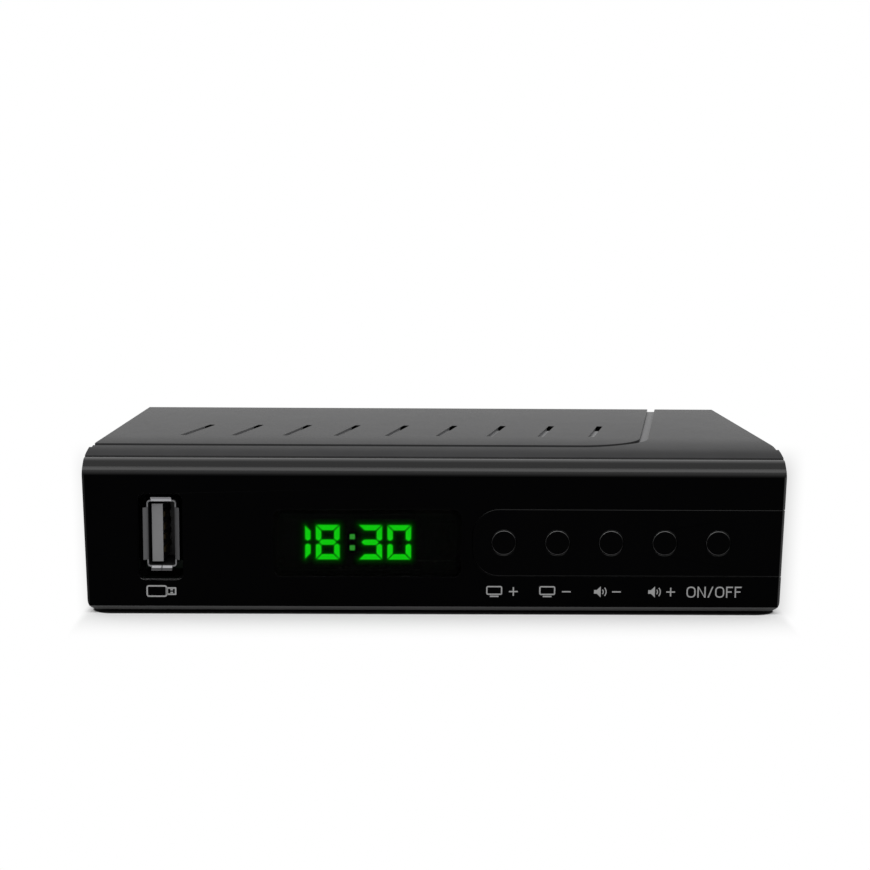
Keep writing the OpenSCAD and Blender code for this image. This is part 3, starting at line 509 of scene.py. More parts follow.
@dataclass(frozen=True)
class CasePlastic(Moulded):
    """Case plastic with painted light and shade in the groove and the vents, and a slight crown on its top.

    Depths count from the top downwards, tones are factors on the colour, and level and flat say how far
    up a surface has to face.
    """

    top: float = 31.7
    shallow: float = 0.06
    deep: float = 0.7
    level: float = 0.9
    groove_y: Span = (-31.0, -27.0)
    groove_painted_light: float = 3.2
    vent_x: Span = (-54.0, 38.5)
    vent_y: Span = (-19.2, -0.7)
    vent_open: float = -4.2
    vent_deep: float = 2.6
    vent_painted_light: Span = (3.2, 4.2)
    vent_painted_shade: float = 0.02
    flat: float = 0.94
    crown_y: Span = (-40.0, -18.0)
    crown_slope: float = 0.05
    brow_y: Span = (-38.4, -34.0)
    brow_slope: float = 0.115

    def tone(self, paint: Paint, mottle: Socket) -> Socket:
        """Colour under the dust, with painted light in the top's recesses and painted black shade at the
        vents' open ends.

        Args:
            paint: wiring of the material.
            mottle: the grain's slow mottle.

        Returns:
            The colour socket.
        """
        where = paint.where()
        below = paint.minus(self.top, where["Z"])
        sunk = paint.ramp(below, self.shallow, 2 * self.shallow)
        near = paint.under(below, self.deep)
        behind = paint.ramp(where["Y"], *self.groove_y)
        level = paint.above(paint.facing()["Z"], self.level)
        # Painted light: the level floors of recesses in the top, the groove's among them, are lighter.
        groove = paint.times(sunk, near, behind, level)
        groove_lit = paint.mix(super().tone(paint, mottle), shaded(self.colour, self.groove_painted_light), groove)
        # Painted light on the vents' walls and floors, and painted black shade where they open into the case
        # or lie deep.
        vent_lit = paint.shades(self.colour, self.vent_painted_light, level)
        opened = paint.above(where["Y"], self.vent_open)
        through = paint.larger(opened, paint.minus(1.0, near))
        vent = paint.mix(vent_lit, shaded(self.colour, self.vent_painted_shade), through)
        row = paint.between(where["Y"], *self.vent_y)
        beside = paint.between(where["X"], *self.vent_x)
        inside = paint.between(below, self.shallow, self.vent_deep)
        return paint.mix(groove_lit, vent, paint.times(row, beside, inside))

    def lie(self, paint: Paint) -> Socket | None:
        """Normal under the grain, which leans gently forwards on the top and more on its brow.

        Args:
            paint: wiring of the material.

        Returns:
            The socket with the normal.
        """
        back = paint.where()["Y"]
        crown = paint.ramp(back, *self.crown_y, -self.crown_slope, 0.0)
        brow = paint.ramp(back, *self.brow_y, -self.brow_slope, 0.0)
        facing = paint.facing()
        level = paint.above(facing["Z"], self.flat)
        change = paint.times(paint.minus(paint.plus(crown, brow), facing["Y"]), level)
        leant = {"X": facing["X"], "Y": paint.plus(facing["Y"], change), "Z": facing["Z"]}
        return paint.vector("NORMALIZE", paint.fill(paint.node("ShaderNodeCombineXYZ"), leant)["Vector"])


@dataclass(frozen=True)
class Gloss(Finish):
    """Polished black plastic, whose edges and slopes get a painted sheen that its upright face lacks.

    The spans slope, crest_up, rim_front and rim_up are ranges of one part of the surface's normal, and
    the spans turn and side are ranges of the square of its X.
    """

    colour: Colour
    roughness: float
    specular: float
    mottle: Span = (0.8, 1.2)
    grain_scale: float = 900.0
    smear_scale: float = 45.0
    smeared: float = 0.08
    edge_ior: float = 1.5
    edge_roughness: float = 0.12
    shine: float = 0.7
    slope: Span = (0.06, 0.4)
    crest: float = 1.0
    crest_up: Span = (0.8, 0.97)
    underside: float = 1.0
    turned: float = 1.0
    turn: Span = (0.01, 0.2)
    side_shine: float = 0.7
    side: Span = (0.7, 0.95)
    rim_x: Span = (66.95, 67.2)
    rim_knee: float = 26.72
    rim_lean: float = 0.0249
    rim_painted_highlight: Span = (0.013, 0.044)
    rim_front: Span = (-0.6, -0.2)
    rim_up: Span = (0.05, 0.2)

    def wire(self, paint: Paint) -> None:
        """Near black with faint smears, under a coat.

        Args:
            paint: wiring of the material.
        """
        grain = paint.effect(Effect.GRAIN, Scale=self.grain_scale)
        smears = paint.effect(Effect.SMEARS, Scale=self.smear_scale)
        paint.give("Base Color", self.tone(paint, grain["Mottle"]))
        paint.give("Roughness", paint.blend(smears["Mask"], self.roughness, self.roughness + self.smeared))
        paint.give("Coat Weight", self.coat(paint))
        paint.give("Coat Roughness", self.edge_roughness)
        paint.give("Coat IOR", self.edge_ior)
        paint.give("Specular IOR Level", self.specular)

    def coat(self, paint: Paint) -> Socket:
        """Weight of the coat, a painted sheen that lies on what faces up, down or sideways.

        Args:
            paint: wiring of the material.

        Returns:
            The socket with the weight.
        """
        facing = paint.facing()
        low, high = self.slope
        slope = paint.ramp(facing["Z"], low, high, 0.0, self.shine)
        raised = paint.larger(slope, paint.ramp(facing["Z"], *self.crest_up, 0.0, self.crest))
        hung = paint.ramp(facing["Z"], -high, -low, self.underside, 0.0)
        across = paint.math("POWER", facing["X"], 2.0)
        beside = paint.ramp(across, *self.side, 0.0, self.side_shine)
        straight = paint.ramp(across, *self.turn, 1.0, self.turned)
        return paint.larger(paint.times(paint.larger(raised, hung), straight), beside)

    def tone(self, paint: Paint, mottle: Socket) -> Socket:
        """Colour under the coat, with a grey painted highlight on a thin rim at both ends of the front face.

        Args:
            paint: wiring of the material.
            mottle: the grain's slow mottle.

        Returns:
            The colour socket.
        """
        where = paint.where()
        facing = paint.facing()
        drop = paint.larger(paint.minus(self.rim_knee, where["Z"]), 0.0)
        reach = paint.plus(paint.math("ABSOLUTE", where["X"]), paint.times(drop, self.rim_lean))
        rim = paint.ramp(reach, *self.rim_x)
        forward = paint.ramp(facing["Y"], *self.rim_front, 1.0, 0.0)
        upright = paint.ramp(facing["Z"], *self.rim_up, 1.0, 0.0)
        # Painted highlight on the rim, greyer at the right end than at the left.
        grey = paint.shades(WHITE, self.rim_painted_highlight, paint.above(where["X"], 0.0))
        plain = paint.shades(self.colour, self.mottle, mottle)
        return paint.mix(plain, grey, paint.times(rim, forward, upright))


@dataclass(frozen=True)
class PanelGloss(Gloss):
    """Polished black front panel, with painted grey highlights on its upper lip and the step below the
    socket.

    The spans lip_up and step_up are ranges of the Z of the surface's normal.
    """

    lip_above: float = 28.5
    lip_up: Span = (0.69, 0.97)
    lip_painted_highlight: float = 0.05
    step_below: float = 6.9
    step_before: float = -41.9
    step_up: Span = (0.1, 0.6)
    step_painted_highlight: float = 0.12

    def tone(self, paint: Paint, mottle: Socket) -> Socket:
        """Colour under the coat, with painted highlights on the lip and the step.

        Args:
            paint: wiring of the material.
            mottle: the grain's slow mottle.

        Returns:
            The colour socket.
        """
        where = paint.where()
        up = paint.facing()["Z"]
        # Painted highlights: grey on the upper lip and on the step below the socket.
        lip = paint.times(paint.ramp(up, *self.lip_up), paint.above(where["Z"], self.lip_above))
        lip_highlighted = paint.mix(super().tone(paint, mottle), shaded(WHITE, self.lip_painted_highlight), lip)
        low = paint.under(where["Z"], self.step_below)
        front = paint.under(where["Y"], self.step_before)
        step = paint.times(low, front, paint.ramp(up, *self.step_up))
        return paint.mix(lip_highlighted, shaded(WHITE, self.step_painted_highlight), step)


@dataclass(frozen=True)
class Smoked(Finish):
    """Dark see-through acrylic."""

    colour: Colour
    ior: float
    mottle: Span = (0.97, 1.03)
    roughness: Span = (0.02, 0.05)
    grain_scale: float = 900.0
    smear_scale: float = 45.0

    def wire(self, paint: Paint) -> None:
        """Tinted, clear, with faint smears.

        Args:
            paint: wiring of the material.
        """
        grain = paint.effect(Effect.GRAIN, Scale=self.grain_scale)
        smears = paint.effect(Effect.SMEARS, Scale=self.smear_scale)
        paint.give("Base Color", paint.shades(self.colour, self.mottle, grain["Mottle"]))
        paint.give("Roughness", paint.blend(smears["Mask"], *self.roughness))
        paint.give("Transmission Weight", 1.0)
        paint.give("IOR", self.ior)


@dataclass(frozen=True)
class SheetMetal(Finish):
    """Plated or bare metal with rolling lines and a slow tarnish."""

    colour: Colour
    roughness: float
    line: float = 0.12
    depth: float = 0.002
    tarnished: float = 0.72
    dulled: float = 0.16

    def wire(self, paint: Paint) -> None:
        """Metal whose tone and roughness follow its tarnish.

        Args:
            paint: wiring of the material.
        """
        brush = paint.effect(Effect.BRUSH, Scale=1.0 / (self.line * MM))
        paint.give("Base Color", paint.shades(self.colour, (1.0, self.tarnished), brush["Tarnish"]))
        paint.give("Roughness", paint.blend(brush["Tarnish"], self.roughness, self.roughness + self.dulled))
        paint.give("Normal", paint.bump(brush["Height"], self.depth))
        paint.give("Metallic", 1.0)


@dataclass(frozen=True)
class SocketMetal(Finish):
    """Sheet metal of a socket, with painted shade that darkens it from its mouth inwards.

    The span turn says how far a surface has to face up, down or sideways to belong to a flap. The two
    tones of a flap meet at its fold.
    """

    colour: Colour
    roughness: float
    dulled: float = 0.3
    specular: float = 0.05
    line_scale: float = 6000.0
    depth: float = 0.002
    tarnished: float = 0.75
    mouth: float = -41.1
    dark: float = -40.3
    # Painted shade: tone of the metal deep inside the socket.
    inside: float = 0.04
    turn: Span = (0.3, 0.5)
    # Painted shade on the side flaps, and painted highlight and shade on the upper and lower flaps.
    side_painted_shade: float = 0.3
    upper_painted_highlight: Span = (1.05, 2.2)
    lower_painted_shade_and_highlight: Span = (0.09, 0.63)
    fold_y: Span = (-41.12, -40.98)
    split_at: float = -52.65
    split_half: float = 0.1

    def wire(self, paint: Paint) -> None:
        """Metal with faint lines outside, and painted shade, dark and dull, inside the socket.

        Args:
            paint: wiring of the material.
        """
        brush = paint.effect(Effect.BRUSH, Scale=self.line_scale)
        shade = paint.effect(Effect.SHADE_DEPTH, Mouth=self.mouth, Dark=self.dark)["Mask"]
        flaps = self.flaps(paint, brush["Tarnish"])
        paint.give("Base Color", paint.mix(flaps, shaded(self.colour, self.inside), shade))
        paint.give("Roughness", paint.blend(shade, self.roughness, self.roughness + self.dulled))
        paint.give("Metallic", paint.blend(shade, 1.0, 0.0))
        paint.give("Normal", paint.bump(brush["Height"], self.depth))
        paint.give("Specular IOR Level", self.specular)

    def flaps(self, paint: Paint, tarnish: Socket) -> Socket:
        """Colour outside the socket, with painted light and shade on each flap and a dark slit in the lower
        one.

        Args:
            paint: wiring of the material.
            tarnish: the metal's slow tarnish.

        Returns:
            The colour socket.
        """
        where = paint.where()
        facing = paint.facing()
        low, high = self.turn
        plain = paint.shades(self.colour, (1.0, self.tarnished), tarnish)
        beside = paint.ramp(paint.math("ABSOLUTE", facing["X"]), low, high)
        sides = paint.mix(plain, shaded(self.colour, self.side_painted_shade), beside)
        fold = paint.ramp(where["Y"], *self.fold_y)
        fold_highlight = paint.shades(self.colour, self.upper_painted_highlight, fold)
        upper = paint.mix(sides, fold_highlight, paint.ramp(facing["Z"], -high, -low, 1.0, 0.0))
        lowest = paint.ramp(facing["Z"], low, high)
        lower_flap_painted = paint.shades(self.colour, self.lower_painted_shade_and_highlight, fold)
        across = paint.math("ABSOLUTE", paint.minus(where["X"], self.split_at))
        slit = paint.times(lowest, paint.under(across, self.split_half))
        return paint.mix(paint.mix(upper, lower_flap_painted, lowest), shaded(self.colour, self.inside), slit)


@dataclass(frozen=True)
class TonguePlastic(Moulded):
    """Plastic of a socket's tongue, with painted shade that darkens it further in from its front end."""

    front: float = -39.93
    dark: float = -39.6
    # Painted shade: tone of the tongue deep inside the socket.
    inside: float = 0.03

    def tone(self, paint: Paint, mottle: Socket) -> Socket:
        """Colour under the dust, with painted shade inside the socket."""
        shade = paint.effect(Effect.SHADE_DEPTH, Mouth=self.front, Dark=self.dark)["Mask"]
        return paint.mix(super().tone(paint, mottle), shaded(self.colour, self.inside), shade)


@dataclass(frozen=True)
class Laminate(Finish):
    """Circuit board: solder mask over copper tracks and tinned pads."""

    mask: Colour = (0.002, 0.012, 0.005)
    track: Colour = (0.004, 0.022, 0.009)
    pad: Colour = (0.12, 0.12, 0.11)
    mottle: Span = (0.85, 1.15)
    roughness: Span = (0.42, 0.28)
    specular: float = 0.15
    grain_scale: float = 2400.0
    depth: float = 0.03
    pitch: float = 1.6
    track_shift: float = 0.35
    track_gap: float = 0.05
    track_length: float = 3.4
    track_row: float = 0.5
    pad_pitch: float = 2.6
    pad_edge: Span = (0.10, 0.16)

    def wire(self, paint: Paint) -> None:
        """Tracks as rows of bricks, pads as scattered dots.

        Args:
            paint: wiring of the material.
        """
        place = paint.place()
        layout = {
            "Vector": place,
            "Scale": 1.0 / (self.pitch * MM),
            "Mortar Size": self.track_gap,
            "Brick Width": self.track_length,
            "Row Height": self.track_row,
        }
        tracks = paint.fill(paint.node("ShaderNodeTexBrick", offset=self.track_shift), layout)["Fac"]
        mottle = paint.effect(Effect.GRAIN, Scale=self.grain_scale)["Mottle"]
        tracked = paint.mix(paint.shades(self.mask, self.mottle, mottle), self.track, tracks)
        dots = paint.ramp(paint.cells(place, 1.0 / (self.pad_pitch * MM)), *self.pad_edge, 1.0, 0.0)
        paint.give("Base Color", paint.mix(tracked, self.pad, dots))
        paint.give("Roughness", paint.blend(dots, *self.roughness))
        paint.give("Normal", paint.bump(tracks, self.depth))
        paint.give("Specular IOR Level", self.specular)


@dataclass(frozen=True)
class Ribbon(Finish):
    """Flat cable: grey vinyl moulded round parallel wires."""

    colour: Colour = (0.42, 0.42, 0.43)
    valley_shade: float = 0.6
    faded: float = 1.1
    roughness: Span = (0.45, 0.6)
    grain_scale: float = 3000.0
    pitch: float = 1.0
    depth: float = 0.25

    def wire(self, paint: Paint) -> None:
        """Rounded ribs across X, with painted shade in the valleys.

        Args:
            paint: wiring of the material.
        """
        layout = {"Vector": paint.place(), "Scale": math.tau / (WAVE_FACTOR * self.pitch * MM)}
        ribs = paint.fill(paint.node("ShaderNodeTexWave", bands_direction="X"), layout)["Fac"]
        mottle = paint.effect(Effect.GRAIN, Scale=self.grain_scale)["Mottle"]
        # Painted shade in the valleys between the ribs.
        tone = paint.shades(self.colour, (self.valley_shade, 1.0), ribs)
        paint.give("Base Color", paint.mix(tone, shaded(self.colour, self.faded), mottle))
        paint.give("Roughness", paint.blend(mottle, *self.roughness))
        paint.give("Normal", paint.bump(ribs, self.depth))


@dataclass(frozen=True)
class Segment(Finish):
    """Segment of the display, which may glow."""

    colour: Colour
    glow: Colour
    strength: float
    dim_glow: Colour
    mottle: Span = (0.85, 1.1)
    uneven: Span = (0.92, 1.08)
    roughness: Span = (0.45, 0.6)
    grain_scale: float = 2500.0

    def wire(self, paint: Paint) -> None:
        """Diffusing plastic with slightly uneven light behind it, dimmer at the colon.

        Args:
            paint: wiring of the material.
        """
        mottle = paint.effect(Effect.GRAIN, Scale=self.grain_scale)["Mottle"]
        light = paint.shades(self.glow, self.uneven, mottle)
        colon = paint.between(paint.where()["X"], *COLON)
        paint.give("Base Color", paint.shades(self.colour, self.mottle, mottle))
        paint.give("Roughness", paint.blend(mottle, *self.roughness))
        paint.give("Emission Color", paint.mix(light, self.dim_glow, colon))
        paint.give("Emission Strength", self.strength)


@dataclass(frozen=True)
class Halo(Finish):
    """Light that spreads in the display's film round the lit segments."""

    colour: Colour
    glow: Colour
    strength: float
    mottle: Span = (0.85, 1.15)
    roughness: Span = (0.6, 0.75)
    specular: float = 0.1
    grain_scale: float = 2500.0

    def wire(self, paint: Paint) -> None:
        """Black film that glows as much as the mesh says at each point.

        Args:
            paint: wiring of the material.
        """
        mottle = paint.effect(Effect.GRAIN, Scale=self.grain_scale)["Mottle"]
        light = paint.node("ShaderNodeAttribute", attribute_name=GLOW_LAYER).outputs["Fac"]
        paint.give("Base Color", paint.shades(self.colour, self.mottle, mottle))
        paint.give("Roughness", paint.blend(mottle, *self.roughness))
        paint.give("Emission Color", paint.mix(BLACK, self.glow, light))
        paint.give("Emission Strength", self.strength)
        paint.give("Specular IOR Level", self.specular)


@dataclass(frozen=True)
class Ink(Finish):
    """Screen printed ink with an uneven film."""

    colour: Colour
    uneven: Span = (0.86, 1.1)
    roughness: Span = (0.5, 0.65)
    specular: float = 0.2
    grain_scale: float = 6000.0

    def wire(self, paint: Paint) -> None:
        """Grey ink, thinner in places.

        Args:
            paint: wiring of the material.
        """
        grain = paint.effect(Effect.GRAIN, Scale=self.grain_scale)
        paint.give("Base Color", paint.shades(self.colour, self.uneven, grain["Height"]))
        paint.give("Roughness", paint.blend(grain["Mottle"], *self.roughness))
        paint.give("Specular IOR Level", self.specular)


GLOSS_BLACK: Colour = (0.0006, 0.0006, 0.0007)
LIT_GREEN: Colour = (0.008, 1.0, 0.008)
COLON_GREEN: Colour = (0.05, 0.45, 0.05)
FAINT_GREEN: Colour = (0.0, 0.001, 0.0)
FINISHES: tuple[tuple[str, Finish], ...] = (
    ("case_plastic", CasePlastic("satin_black", (0.040, 0.040, 0.041), 0.15, specular=0.0021, dust=0.012)),
    ("gloss_plastic", PanelGloss("polished_black", GLOSS_BLACK, 0.08, specular=0.007, crest=0.75)),
    ("smoked_window", Smoked("smoked_acrylic", (0.12, 0.14, 0.12), ior=1.069)),
    ("foot_rubber", Moulded("soft_rubber", (0.028, 0.028, 0.028), 0.85, specular=0.3, grain=0.4)),
    ("screw_steel", SheetMetal("zinc_plate", (0.55, 0.55, 0.57), 0.30)),
    ("switch_plastic", Moulded("switch_black", (0.045, 0.045, 0.048), 0.5)),
    ("board_laminate", Laminate("solder_mask")),
    ("display_black", Moulded("display_black", (0.0035, 0.0035, 0.0035), 0.7, specular=0.1)),
    ("lit_segment", Segment("glowing_green", (0.01, 0.06, 0.01), LIT_GREEN, 3.9, COLON_GREEN)),
    ("dark_segment", Segment("unlit_segment", (0.003, 0.004, 0.003), FAINT_GREEN, 0.1, FAINT_GREEN)),
    ("socket_plastic", Moulded("ivory_nylon", (0.72, 0.69, 0.60), 0.45)),
    ("ribbon_vinyl", Ribbon("grey_vinyl")),
    ("socket_steel", SheetMetal("tinned_sheet", (0.62, 0.62, 0.63), 0.28)),
    ("tongue_plastic", TonguePlastic("grey_nylon", (0.145, 0.145, 0.148), 0.45)),
    ("gilt_contact", SheetMetal("thin_gilt", (0.85, 0.62, 0.28), 0.22)),
    ("chip_resin", Moulded("moulded_resin", (0.022, 0.022, 0.024), 0.6, grain=0.12)),
    ("thermal_pad", Moulded("silicone_pad", (0.32, 0.36, 0.42), 0.75, grain=0.5)),
    ("sink_aluminium", SheetMetal("black_anodised", (0.10, 0.10, 0.105), 0.38)),
    ("can_sleeve", Moulded("shrink_sleeve", (0.02, 0.03, 0.07), 0.3, grain=0.8)),
    ("ferrite", Moulded("pressed_ferrite", (0.05, 0.048, 0.047), 0.65, grain=0.15)),
    ("nickel", SheetMetal("nickel_plate", (0.42, 0.40, 0.37), 0.2, tarnished=0.9, dulled=0.05)),
    ("jack_plastic", Moulded("jack_black", (0.018, 0.018, 0.019), 0.4)),
)


def placed(name: str, data: bpy.types.ID) -> bpy.types.Object:
    """Put a mesh, a camera or a lamp into the scene.

    Args:
        name: name of the object.
        data: what the object holds.

    Returns:
        The new object.
    """
    made = bpy.data.objects.new(name, data)
    bpy.context.scene.collection.objects.link(made)
    return made


def meshed(name: str, mesh: bmesh.types.BMesh) -> bpy.types.Object:
    """Put a finished mesh into the scene.

    Args:
        name: name of the object.
        mesh: its mesh, in metres, which is used up.

    Returns:
        The new object.
    """
    data = bpy.data.meshes.new(name)
    mesh.to_mesh(data)
    mesh.free()
    return placed(name, data)


class Bench:
    """The loaded frame and the materials that its nodes are dressed with."""

    flat_angle: float = 0.4
    bevel_angle: float = 32.0
    bevel_steps: int = 2

    def __init__(self, frame: dict) -> None:
        """Build every finish of the record's slots.

        Args:
            frame: what the loader returned.
        """
        self.nodes: dict[str, bpy.types.Object] = frame["nodes"]
        self.slots = {part["node"]: part["material_slot"] for part in frame["record"]["subparts"]}
        self.effects = EffectShop()
        self.materials = {slot: finish.material(self.effects) for slot, finish in FINISHES}

    def dress(self, name: str, edge: float = 0.0, finish: Finish | None = None, merged: bool = False) -> None:
        """Give a CAD node its finish and soft edges.

        Args:
            name: name of the node.
            edge: width of the rounding on its sharp edges, or 0 to leave them sharp.
            finish: finish to use instead of the one for its slot.
            merged: whether its flat faces become one each, for nodes without openings.
        """
        shown = self.nodes[name]
        material = finish.material(self.effects) if finish else self.materials[self.slots[name]]
        shown.data.materials.clear()
        shown.data.materials.append(material)
        if edge:
            self._soften(shown, edge, merged)
        LOG.info("node %s dressed as %s", name, material.name)

    def _soften(self, shown: bpy.types.Object, edge: float, merged: bool) -> None:
        """Round the sharp edges of a node with modifiers, which leave its own mesh as it is.

        Args:
            shown: the node's object.
            edge: width of the rounding.
            merged: whether its flat faces become one each.
        """
        weld = shown.modifiers.new("weld", "WELD")
        weld.merge_threshold = TOUCH * MM
        if merged:
            flat = shown.modifiers.new("flat_faces", "DECIMATE")
            flat.decimate_type = "DISSOLVE"
            flat.angle_limit = math.radians(self.flat_angle)
        bevel = shown.modifiers.new("soft_edges", "BEVEL")
        bevel.width = edge * MM
        bevel.segments = self.bevel_steps
        bevel.limit_method = "ANGLE"
        bevel.angle_limit = math.radians(self.bevel_angle)
        bevel.harden_normals = True

    @staticmethod
    def add(name: str, mesh: bmesh.types.BMesh, material: bpy.types.Material) -> None:
        """Turn a finished mesh into a piece that rides on the case.

        Args:
            name: name of the piece.
            mesh: its mesh, in metres, which is used up.
            material: its material.
        """
        piece = meshed(name, mesh)
        piece.data.materials.append(material)
        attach(piece, BASE_BODY)
        LOG.info("piece %s added with %d faces", name, len(piece.data.polygons))


@dataclass
class Case:
    """Cover, tray and rear panel with what holds them together."""

    cover_edge: float = 0.08
    tray_edge: float = 0.2
    panel_edge: float = 0.15
    foot_edge: float = 0.3
    screw_edge: float = 0.08

    def dress(self, bench: Bench) -> None:
        """Finish the shell.

        Args:
            bench: frame and materials.
        """
        bench.dress("top_cover", self.cover_edge)
        bench.dress("bottom_tray", self.tray_edge)
        bench.dress("rear_panel", self.panel_edge)
        bench.dress("rubber_feet", self.foot_edge)
        bench.dress("case_screws", self.screw_edge)


@dataclass
class Front:
    """Glossy front, the strip round the buttons and the window."""

    panel_edge: float = 0.15
    strip_edge: float = 0.1
    strip: Finish = Gloss(
        "polished_strip", GLOSS_BLACK, 0.08, specular=0.009, shine=0.55, turned=0.0, side=(0.97, 0.99)
    )

    def dress(self, bench: Bench) -> None:
        """Finish the front.

        Args:
            bench: frame and materials.
        """
        bench.dress("front_panel", self.panel_edge)
        bench.dress("button_strip", self.strip_edge, self.strip)
        bench.dress("display_window")


@dataclass
class Keys:
    """Five push buttons with their switches."""

    names: tuple[str, ...] = ("channel_up", "channel_down", "volume_down", "volume_up", "power")
    button_edge: float = 0.11
    switch_edge: float = 0.06
    cap: Finish = Gloss(
        "polished_cap",
        GLOSS_BLACK,
        0.08,
        specular=0.009,
        edge_ior=2.1,
        shine=1.0,
        side_shine=1.0,
        side=(0.2, 0.6),
    )

    def dress(self, bench: Bench) -> None:
        """Finish each button, its plunger and its switch.

        Args:
            bench: frame and materials.
        """
        for name in self.names:
            bench.dress(f"{name}_button", self.button_edge, self.cap, merged=True)
            bench.dress(f"{name}_plunger", self.switch_edge)
            bench.dress(f"{name}_switch", self.switch_edge)


def thicken(sheet: bmesh.types.BMesh, thickness: float) -> None:
    """Turn a flat upright sheet into a closed film that stands out towards the front.

    Args:
        sheet: the mesh, whose faces lie on one plane.
        thickness: thickness of the film.
    """
    grown = bmesh.ops.extrude_face_region(sheet, geom=sheet.faces[:])
    raised = [item for item in grown["geom"] if isinstance(item, bmesh.types.BMVert)]
    bmesh.ops.translate(sheet, verts=raised, vec=(0.0, -thickness * MM, 0.0))
    bmesh.ops.recalc_face_normals(sheet, faces=sheet.faces[:])
    # An extrusion leaves its points and faces in another order each time.
    for rank, vertex in enumerate(sorted(sheet.verts, key=lambda vertex: tuple(vertex.co))):
        vertex.index = rank
    for rank, face in enumerate(sorted(sheet.faces, key=lambda face: tuple(face.calc_center_median()))):
        face.index = rank
    sheet.verts.sort()
    sheet.faces.sort()


@dataclass
class ClockDisplay:
    """Display with its segments, and the light that spreads round the lit ones."""

    housing_edge: float = 0.08
    spread: float = 0.28
    reach: float = 1.35
    step: float = 0.14
    clear: float = 0.14 / 3
    film: float = 0.02
    film_touch: float = 0.0005
    flat_angle: float = 1.15
    forward: float = -0.9
    halo: Finish = Halo("green_halo", (0.0035, 0.0035, 0.0035), (0.0, 1.0, 0.0), 0.48)

    def dress(self, bench: Bench) -> None:
        """Finish the display.

        Args:
            bench: frame and materials.
        """
        bench.dress("display_housing", self.housing_edge)
        bench.dress("lit_segments")
        bench.dress("dark_segments")

    def build(self, bench: Bench) -> None:
        """Lay a film over the display that glows round the lit segments.

        Args:
            bench: frame and materials.
        """
        outlines = self._outlines(bench.nodes["lit_segments"].data)
        corners = [corner for outline in outlines for corner in outline]
        loops: list[list[int]] = []
        start = 0
        for outline in outlines:
            loops.append(list(range(start, start + len(outline))))
            start += len(outline)
        fold_highlight = [loop for loop in loops if not COLON[0] < corners[loop[0]].x / MM < COLON[1]]
        holes = BVHTree.FromPolygons(corners, loops)
        lit = BVHTree.FromPolygons(corners, fold_highlight)
        face_y = corners[0].y
        points = [Vector((corner.x, corner.z)) for corner in corners]
        for spot in self._grid(corners):
            if self.clear * MM < self._away(holes, spot, face_y) < self.reach * MM:
                points.append(spot)
        edges = [edge for loop in loops for edge in zip(loop, loop[1:] + loop[:1])]
        spots, _, triangles, *_ = delaunay_2d_cdt(points, edges, [], 0, self.film_touch * MM)
        film = bmesh.new()
        layer = film.verts.layers.float_color.new(GLOW_LAYER)
        made = [film.verts.new((spot.x, face_y, spot.y)) for spot in spots]
        faintest = math.exp(-self.reach / self.spread)
        for vertex, spot in zip(made, spots):
            away = self._away(lit, spot, face_y) / MM
            light = max(math.exp(-away / self.spread) - faintest, 0.0)
            vertex[layer] = (light, light, light, 1.0)
        for triangle in triangles:
            middle = sum((spots[i] for i in triangle), Vector((0.0, 0.0))) / len(triangle)
            if TOUCH * MM < self._away(holes, middle, face_y) < self.reach * MM:
                film.faces.new([made[i] for i in triangle])
        loose = [vertex for vertex in film.verts if not vertex.link_faces]
        bmesh.ops.delete(film, geom=loose, context="VERTS")
        thicken(film, self.film)
        bench.add("clock_glow", film, self.halo.material(bench.effects))

    def _outlines(self, data: bpy.types.Mesh) -> list[list[Vector]]:
        """Outlines of the lit segments' front faces.

        Args:
            data: mesh of the lit segments, which stays as it is.

        Returns:
            The corners of each face.
        """
        fronts = bmesh.new()
        fronts.from_mesh(data)
        bmesh.ops.remove_doubles(fronts, verts=fronts.verts[:], dist=TOUCH * MM)
        every = {"verts": fronts.verts[:], "edges": fronts.edges[:]}
        bmesh.ops.dissolve_limit(fronts, angle_limit=math.radians(self.flat_angle), **every)
        faces = [face for face in fronts.faces if face.normal.y < self.forward]
        outlines = [[corner.co.copy() for corner in face.verts] for face in faces]
        fronts.free()
        return outlines

    @staticmethod
    def _away(shapes: BVHTree, spot: Vector, face_y: float) -> float:
        """Distance in metres from a spot on the display's face to the nearest of the shapes on it."""
        return shapes.find_nearest(Vector((spot.x, face_y, spot.y)))[3]

    def _grid(self, corners: list[Vector]) -> list[Vector]:
        """Evenly spaced spots over the lit segments and as far round them as the light reaches.

        Args:
            corners: corners of the lit segments.

        Returns:
            The spots, by X and Z.
        """
        step = self.step * MM
        reach = self.reach * MM
        low_x = min(corner.x for corner in corners) - reach
        low_z = min(corner.z for corner in corners) - reach
        columns = round((max(corner.x for corner in corners) + reach - low_x) / step)
        rows = round((max(corner.z for corner in corners) + reach - low_z) / step)
        places = [(i + 0.5, j + 0.5) for i in range(columns) for j in range(rows)]
        return [Vector((low_x + i * step, low_z + j * step)) for i, j in places]


@dataclass
class UsbPort:
    """Upright socket at the left of the front."""

    shell_edge: float = 0.05
    tongue_edge: float = 0.1
    shell: Finish = SocketMetal("steel_with_painted_shade", (0.30, 0.30, 0.31), 0.3)
    contacts: Finish = SocketMetal("gilt_with_painted_shade", (0.6, 0.45, 0.2), 0.3)

    def dress(self, bench: Bench) -> None:
        """Finish the socket.

        Args:
            bench: frame and materials.
        """
        bench.dress("usb_shell", self.shell_edge, self.shell)
        bench.dress("usb_tongue", self.tongue_edge)
        bench.dress("usb_contacts", finish=self.contacts)


